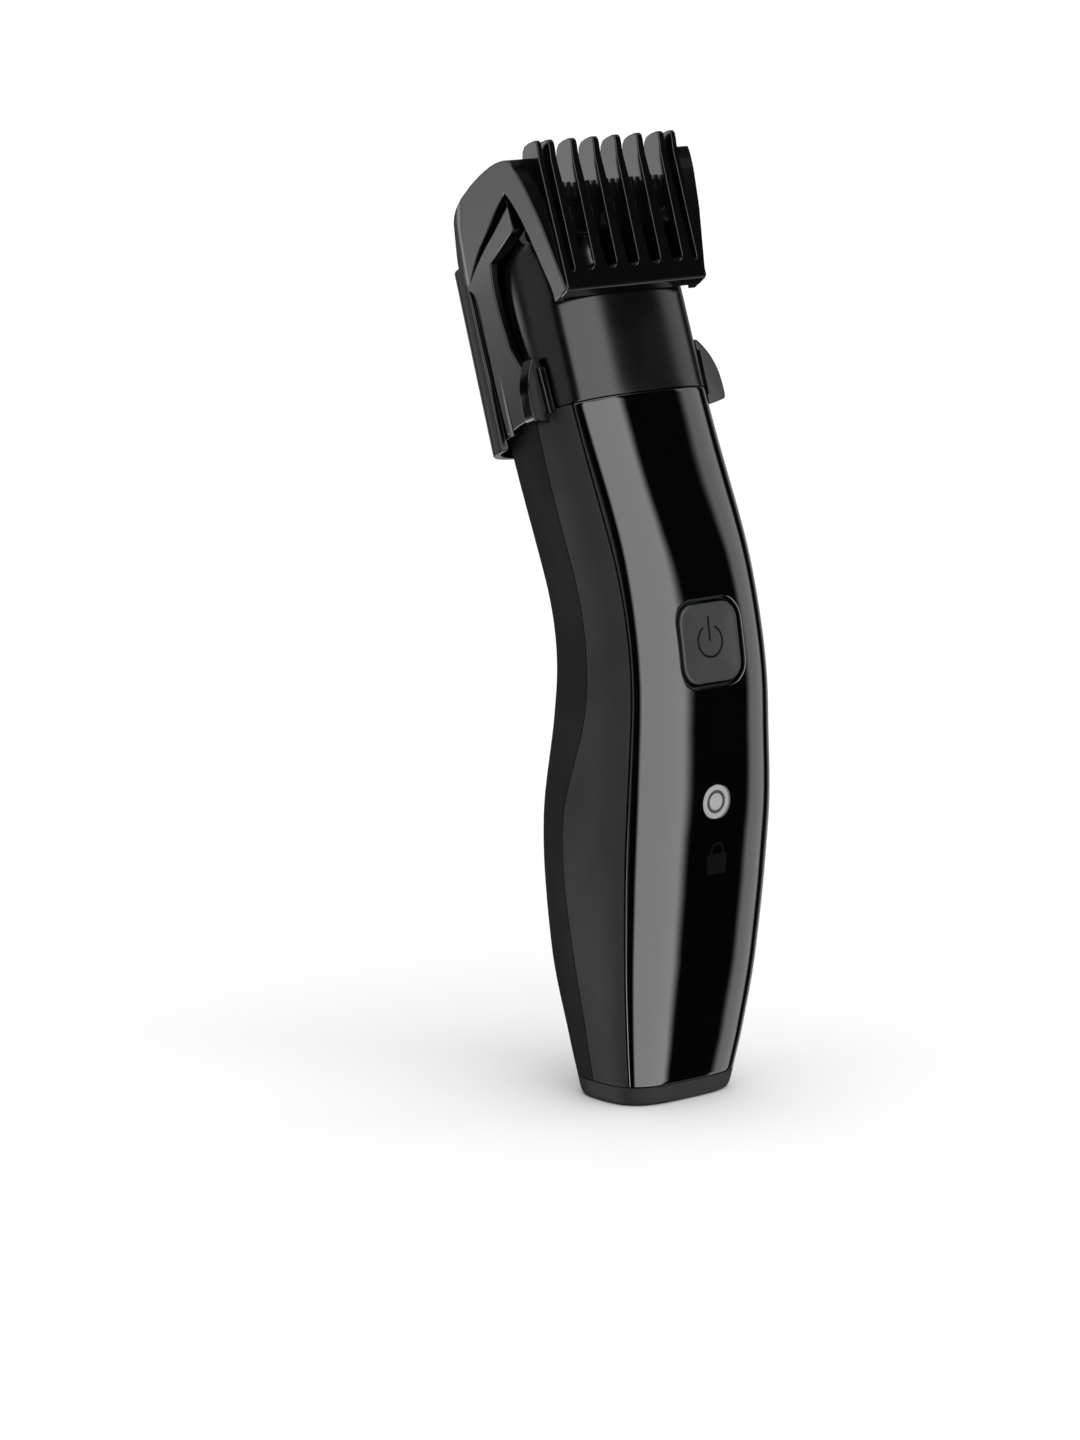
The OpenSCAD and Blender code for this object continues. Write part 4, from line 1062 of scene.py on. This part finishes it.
# %% [markdown]
# ## Guide comb
#
# Two side arms carry the comb. On each sits a shoulder plate that flares outwards, folds back at
# its rear edge and runs down in front to the foot of the bar. The arm's arrow-shaped tip dips
# under it, which leaves a dark slot between them. A wedge fills the corner between the plate
# and the teeth. A sleeve runs round the back of the head, and each side has a fin for the thumb.

# %% Side arms
COMB_GAP = 0.3
COMB_W, COMB_TOP, BAR_Z, BAR_H = 35.4, 49.6, 20.3, 3.7
ARM_X, ARM_SPREAD = 20.9, 0.017
ARM_THICK, PLATE_THICK = 1.6, 2.0
FOOT_TWIST, TIP_TWIST = 0.049, 0.021
PLATE_X, PLATE_Y, PLATE_Z = 18.2, -16.5, 22
PLATE_TOE, PLATE_FLARE = 0.0985, 0.19
TIP_TOP = 42
TIP_DIP, DIP_FROM, TIP_DEEP, DEEP_FROM, DEEP_FULL = 0.5, 25, 1.8, 29, 33
WEDGE_X, WEDGE_Y = 17, -14.5
FOLD = 0.25
FOLD_LINE = [(26, 6.6), (27, 6.3), (30.4, 5.2), (33.9, 4.2), (36.9, 3.4), (39.8, 2.3), (42.3, 0.7),
             (43.6, -0.4), (44.6, -2.2), (46, -5)]
CREASE = [(6.3, 26.8), (4.2, 29.4), (0.7, 32.9), (-3.6, 36), (-7.5, 39.1)]
arm_outline = [(6.3, 26.8), (6.3, 30), (2.7, 33.9), (-1.6, 37), (-5.5, 40.1), (-9.8, 41.9), (-9.6, 39.5),
               (-9.7, 34.6), (-1.3, 30.1), (-0.6, 26.2), (-0.4, 20.1), (-1.1, 14.2), (-2.1, 10.4), (-3, 8.6),
               (-7.6, 8.2), (-7.6, -0.8), (-0.4, -0.6), (4.4, -1.8), (5.3, -1.8), (5.4, 2), (5.3, 9),
               (5, 16.5), (4.6, 24), (5.1, 25.8)]
plate_outline = CREASE + [
    (-11.1, 41.3), (-11.9, 39.3), (-12.6, 35.7), (-13, 32), (-13.3, 26), (-13.6, 21.5), (-13.2, 19.2),
    (-14.4, 19.6), (-17, 20.6), (-17, 34), (-16.6, 38.5), (-16.2, 42.2), (-15.6, 45.2), (-15, 46.8),
    (-13.5, 47.2), (-10.8, 47.2), (-7.3, 46.4), (-3.6, 45.1), (-0.1, 43.5), (2.7, 42), (4.3, 40.2),
    (5.4, 37.3), (7.7, 32), (7.7, 29)]


def arm_face(z):
    return ARM_X + ARM_SPREAD * z


def plate_face(y, z):
    flat = PLATE_X + PLATE_TOE * (y - PLATE_Y) + PLATE_FLARE * (z - PLATE_Z)
    return flat - FOLD * max(0, y - along(FOLD_LINE, z))


def tip_face(y, z):
    twist = lerp(FOOT_TWIST, TIP_TWIST, z / TIP_TOP)
    return arm_face(z) + twist * y - TIP_DIP * ease((z - DIP_FROM) / (TIP_TOP - DIP_FROM))


def bend(bm, face):
    for vert in bm.verts:
        vert.co.x += face(vert.co.y, vert.co.z)


arm = flat_plate(rounded(arm_outline), ARM_THICK)
rule_lines(arm, 2, spaced(-2, TIP_TOP, 2))
for vert in arm.verts:
    if vert.co.x < -ARM_THICK / 2:
        vert.co.x -= TIP_DEEP * ease((vert.co.z - DEEP_FROM) / (DEEP_FULL - DEEP_FROM))
bend(arm, tip_face)
shoulder = flat_plate(rounded(plate_outline), PLATE_THICK)
rule_lines(shoulder, 1, [WEDGE_Y] + spaced(-2.5, 7.5, 0.5))
rule_lines(shoulder, 2, spaced(26, 46, 1.5))
inner = [vert for vert in shoulder.verts if vert.co.x < -PLATE_THICK / 2 and vert.co.y < WEDGE_Y + 0.01]
bend(shoulder, plate_face)
for vert in inner:
    vert.co.x = WEDGE_X
print("arm", len(arm.faces), "faces, shoulder", len(shoulder.faces), "faces")

# %% [markdown]
# ## Thumb fins
#
# The thumb pushes the comb up and down on a small fin at the foot of each arm. It is a short
# plate like the others, but thicker and rounder at its edge, and turned nearly square to the arm.

# %% Thumb fins
FIN_Y, FIN_THICK, FIN_TURN = -7.1, 2.7, 6.3
fin_outline = [(-0.6, 10.4), (0.1, 10.4), (1.2, 9), (2.3, 7.3), (3.1, 5.4), (3.6, 3.4), (3.8, 1), (3.8, -1.5),
               (3.2, -2), (-0.6, -2.5)]
fin = flat_plate(rounded(fin_outline, 60), FIN_THICK, edge=0.4, segments=3)
bmesh.ops.transform(fin, verts=fin.verts, matrix=Matrix.Translation((ARM_X, FIN_Y, 0))
                    @ Matrix.Rotation(math.radians(-90 - FIN_TURN), 4, "Z"))
print("fin", len(fin.faces), "faces")

# %% [markdown]
# ## Sleeve
#
# Behind the head the two arms run into one bent wall that stands a little off the neck. It is a
# grid laid round the neck's own section, extruded to a wall and bevelled. A narrow strip on each
# side, made with the same function, closes the corner between the wall and the arm.

# %% Sleeve
SLEEVE_FOOT, SLEEVE_TOP, SLEEVE_THICK = -4.5, 32, 1.4
SLEEVE_OUT = (1.7, 1.1)
SLEEVE_ANGLE = 14


def sleeve_wall(low, high, first, last, wide, tall, stand_off, thickness, edge):
    """Bent wall round the neck's section, between two heights and two angles."""
    bm = bmesh.new()
    across, up = [bm.verts.layers.float.new(name) for name in ("across", "up")]
    bmesh.ops.create_grid(bm, x_segments=wide, y_segments=tall, size=1)

    def place(vert, extra):
        out = COMB_GAP + lerp(stand_off[0], stand_off[1], vert[up]) + extra
        x, y = outline_point(NECK[1] + out, NECK[2] + out, NECK[3] + out, lerp(first, last, vert[across]))
        vert.co = Vector((x, y, lerp(low, high, vert[up])))

    for vert in bm.verts:
        vert[across], vert[up] = (vert.co.x + 1) / 2, (vert.co.y + 1) / 2
        place(vert, thickness)
    made = bmesh.ops.extrude_face_region(bm, geom=bm.faces[:], use_keep_orig=True)["geom"]
    for vert in corners_in(made):
        place(vert, 0)
    soften(bm, edge, segments=3)
    return bm


sleeve = sleeve_wall(SLEEVE_FOOT, SLEEVE_TOP, SLEEVE_ANGLE, 180 - SLEEVE_ANGLE, 72, 12,
                     SLEEVE_OUT, SLEEVE_THICK, 0.3)
strip = sleeve_wall(SLEEVE_FOOT + 2, SLEEVE_TOP - 1, 6, SLEEVE_ANGLE + 1.5, 6, 4,
                    (0, 0), SLEEVE_OUT[0] + 0.3, 0.1)
print("sleeve", len(sleeve.faces), "faces, strip", len(strip.faces), "faces")

# %% [markdown]
# ## Comb teeth
#
# The bar and its teeth are one plate with slots, seen from the front. Seen from the side, the
# plate has its own profile: a chamfer below, deep teeth and tips that slope away to the back.
# So the slots go into the flat outline, and the profile comes from bending both faces.

# %% Bar and teeth
TOOTH_PITCH, SLOT_ROOT, SLOT_TOP = 5.6, 2.7, 4.2
END_SLOT_IN, END_SLOT_ROOT, END_SLOT_TOP = 1.2, 1.2, 1.8
TOOTH_EDGE = 0.18
BAR_DROP, DROP_TO, DROP_OVER = 0.8, 22, 1.7
FRONT_LINE = [(20.3, -17.1), (20.8, -17.5), (24, -17.6), (45.6, -17.6), (48.2, -18), (49, -18), (49.6, -17.6)]
BACK_LINE = [(20.3, -14.8), (24, -14.8), (27.3, -13.7), (37, -13.7), (38.6, -12.6), (45.6, -12.6),
             (47.2, -13), (48.5, -13.5), (49.3, -14.4), (49.55, -15.6), (49.6, -16.8)]


def slot_outline(middle, root_w, top_w):
    """Points of one slot from its left lip down round its root and up again, as [x, z]."""
    z = BAR_Z + BAR_H + root_w / 2
    lip = lerp(root_w, top_w, (COMB_TOP - z) / (COMB_TOP + 1 - z)) / 2
    root = [(middle + root_w / 2 * math.cos(a), z + root_w / 2 * math.sin(a))
            for a in (math.pi * (1 + i / 12) for i in range(13))]
    return [(middle - lip, COMB_TOP)] + root + [(middle + lip, COMB_TOP)]


half_w = COMB_W / 2
slots = [slot_outline(-3 * TOOTH_PITCH + END_SLOT_IN, END_SLOT_ROOT, END_SLOT_TOP)]
slots += [slot_outline((i - 2) * TOOTH_PITCH, SLOT_ROOT, SLOT_TOP) for i in range(5)]
slots += [slot_outline(3 * TOOTH_PITCH - END_SLOT_IN, END_SLOT_ROOT, END_SLOT_TOP)]
teeth_outline = [(-half_w, BAR_Z), (-half_w, COMB_TOP)] + sum(slots, [])
teeth_outline += [(half_w, COMB_TOP), (half_w, BAR_Z)]
teeth = flat_plate(teeth_outline, 1.0, edge=TOOTH_EDGE)
bends = [z for z, _ in FRONT_LINE[1:] + BACK_LINE[1:] if z < COMB_TOP - 0.1]
rule_lines(teeth, 2, sorted(set(bends + spaced(21.5, 49, 1.5))))
for vert in teeth.verts:
    depth, x, z = -vert.co.x, vert.co.y, vert.co.z
    front, back = along(FRONT_LINE, z), along(BACK_LINE, z)
    if depth <= 0.5:
        y = front + min(depth, (back - front) / 2)
    else:
        y = back - min(1 - depth, (back - front) / 2)
    drop = BAR_DROP * (y - front) / (back - front) * ease((DROP_TO - z) / DROP_OVER)
    vert.co = Vector((x, y, z - drop))
print("slots", len(slots))

# %% [markdown]
# ## One comb
#
# The real comb is one moulding, so its plates are joined in one mesh. Of each pair only one was
# modelled, and a mirrored copy gives the other. All of it was made upright, because upright
# plates have simple numbers, and one matrix at the end leans it back with the head.

# %% Comb
for body in (arm, shoulder, fin, strip):
    add_mirrored(body)
comb = joined([arm, shoulder, fin, strip, sleeve, teeth])
bmesh.ops.transform(comb, verts=comb.verts, matrix=head_frame)
make_piece("comb", comb, "comb_gloss", "comb", "guide_comb", crisp=17)

# %% [markdown]
# ## Small solids that show
#
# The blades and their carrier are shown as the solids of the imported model. A ground blade still
# has a tiny rounded edge that catches light. A bevel modifier adds it without a new mesh, and a
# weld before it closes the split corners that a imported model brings.

# %% Edges on the small solids that show
for name, width in (("fixed_blade", 0.06), ("moving_blade", 0.05), ("drive_yoke", 0.15),
                    ("blade_carrier", 0.15), ("tension_spring", 0.06)):
    weld = nodes[name].modifiers.new("weld", "WELD")
    weld.merge_threshold = 0.000001
    bevel = nodes[name].modifiers.new("edges", "BEVEL")
    bevel.width = width * MM
    bevel.segments = 2
    bevel.limit_method = "ANGLE"
    bevel.angle_limit = math.radians(40)
    print("edges on", name)
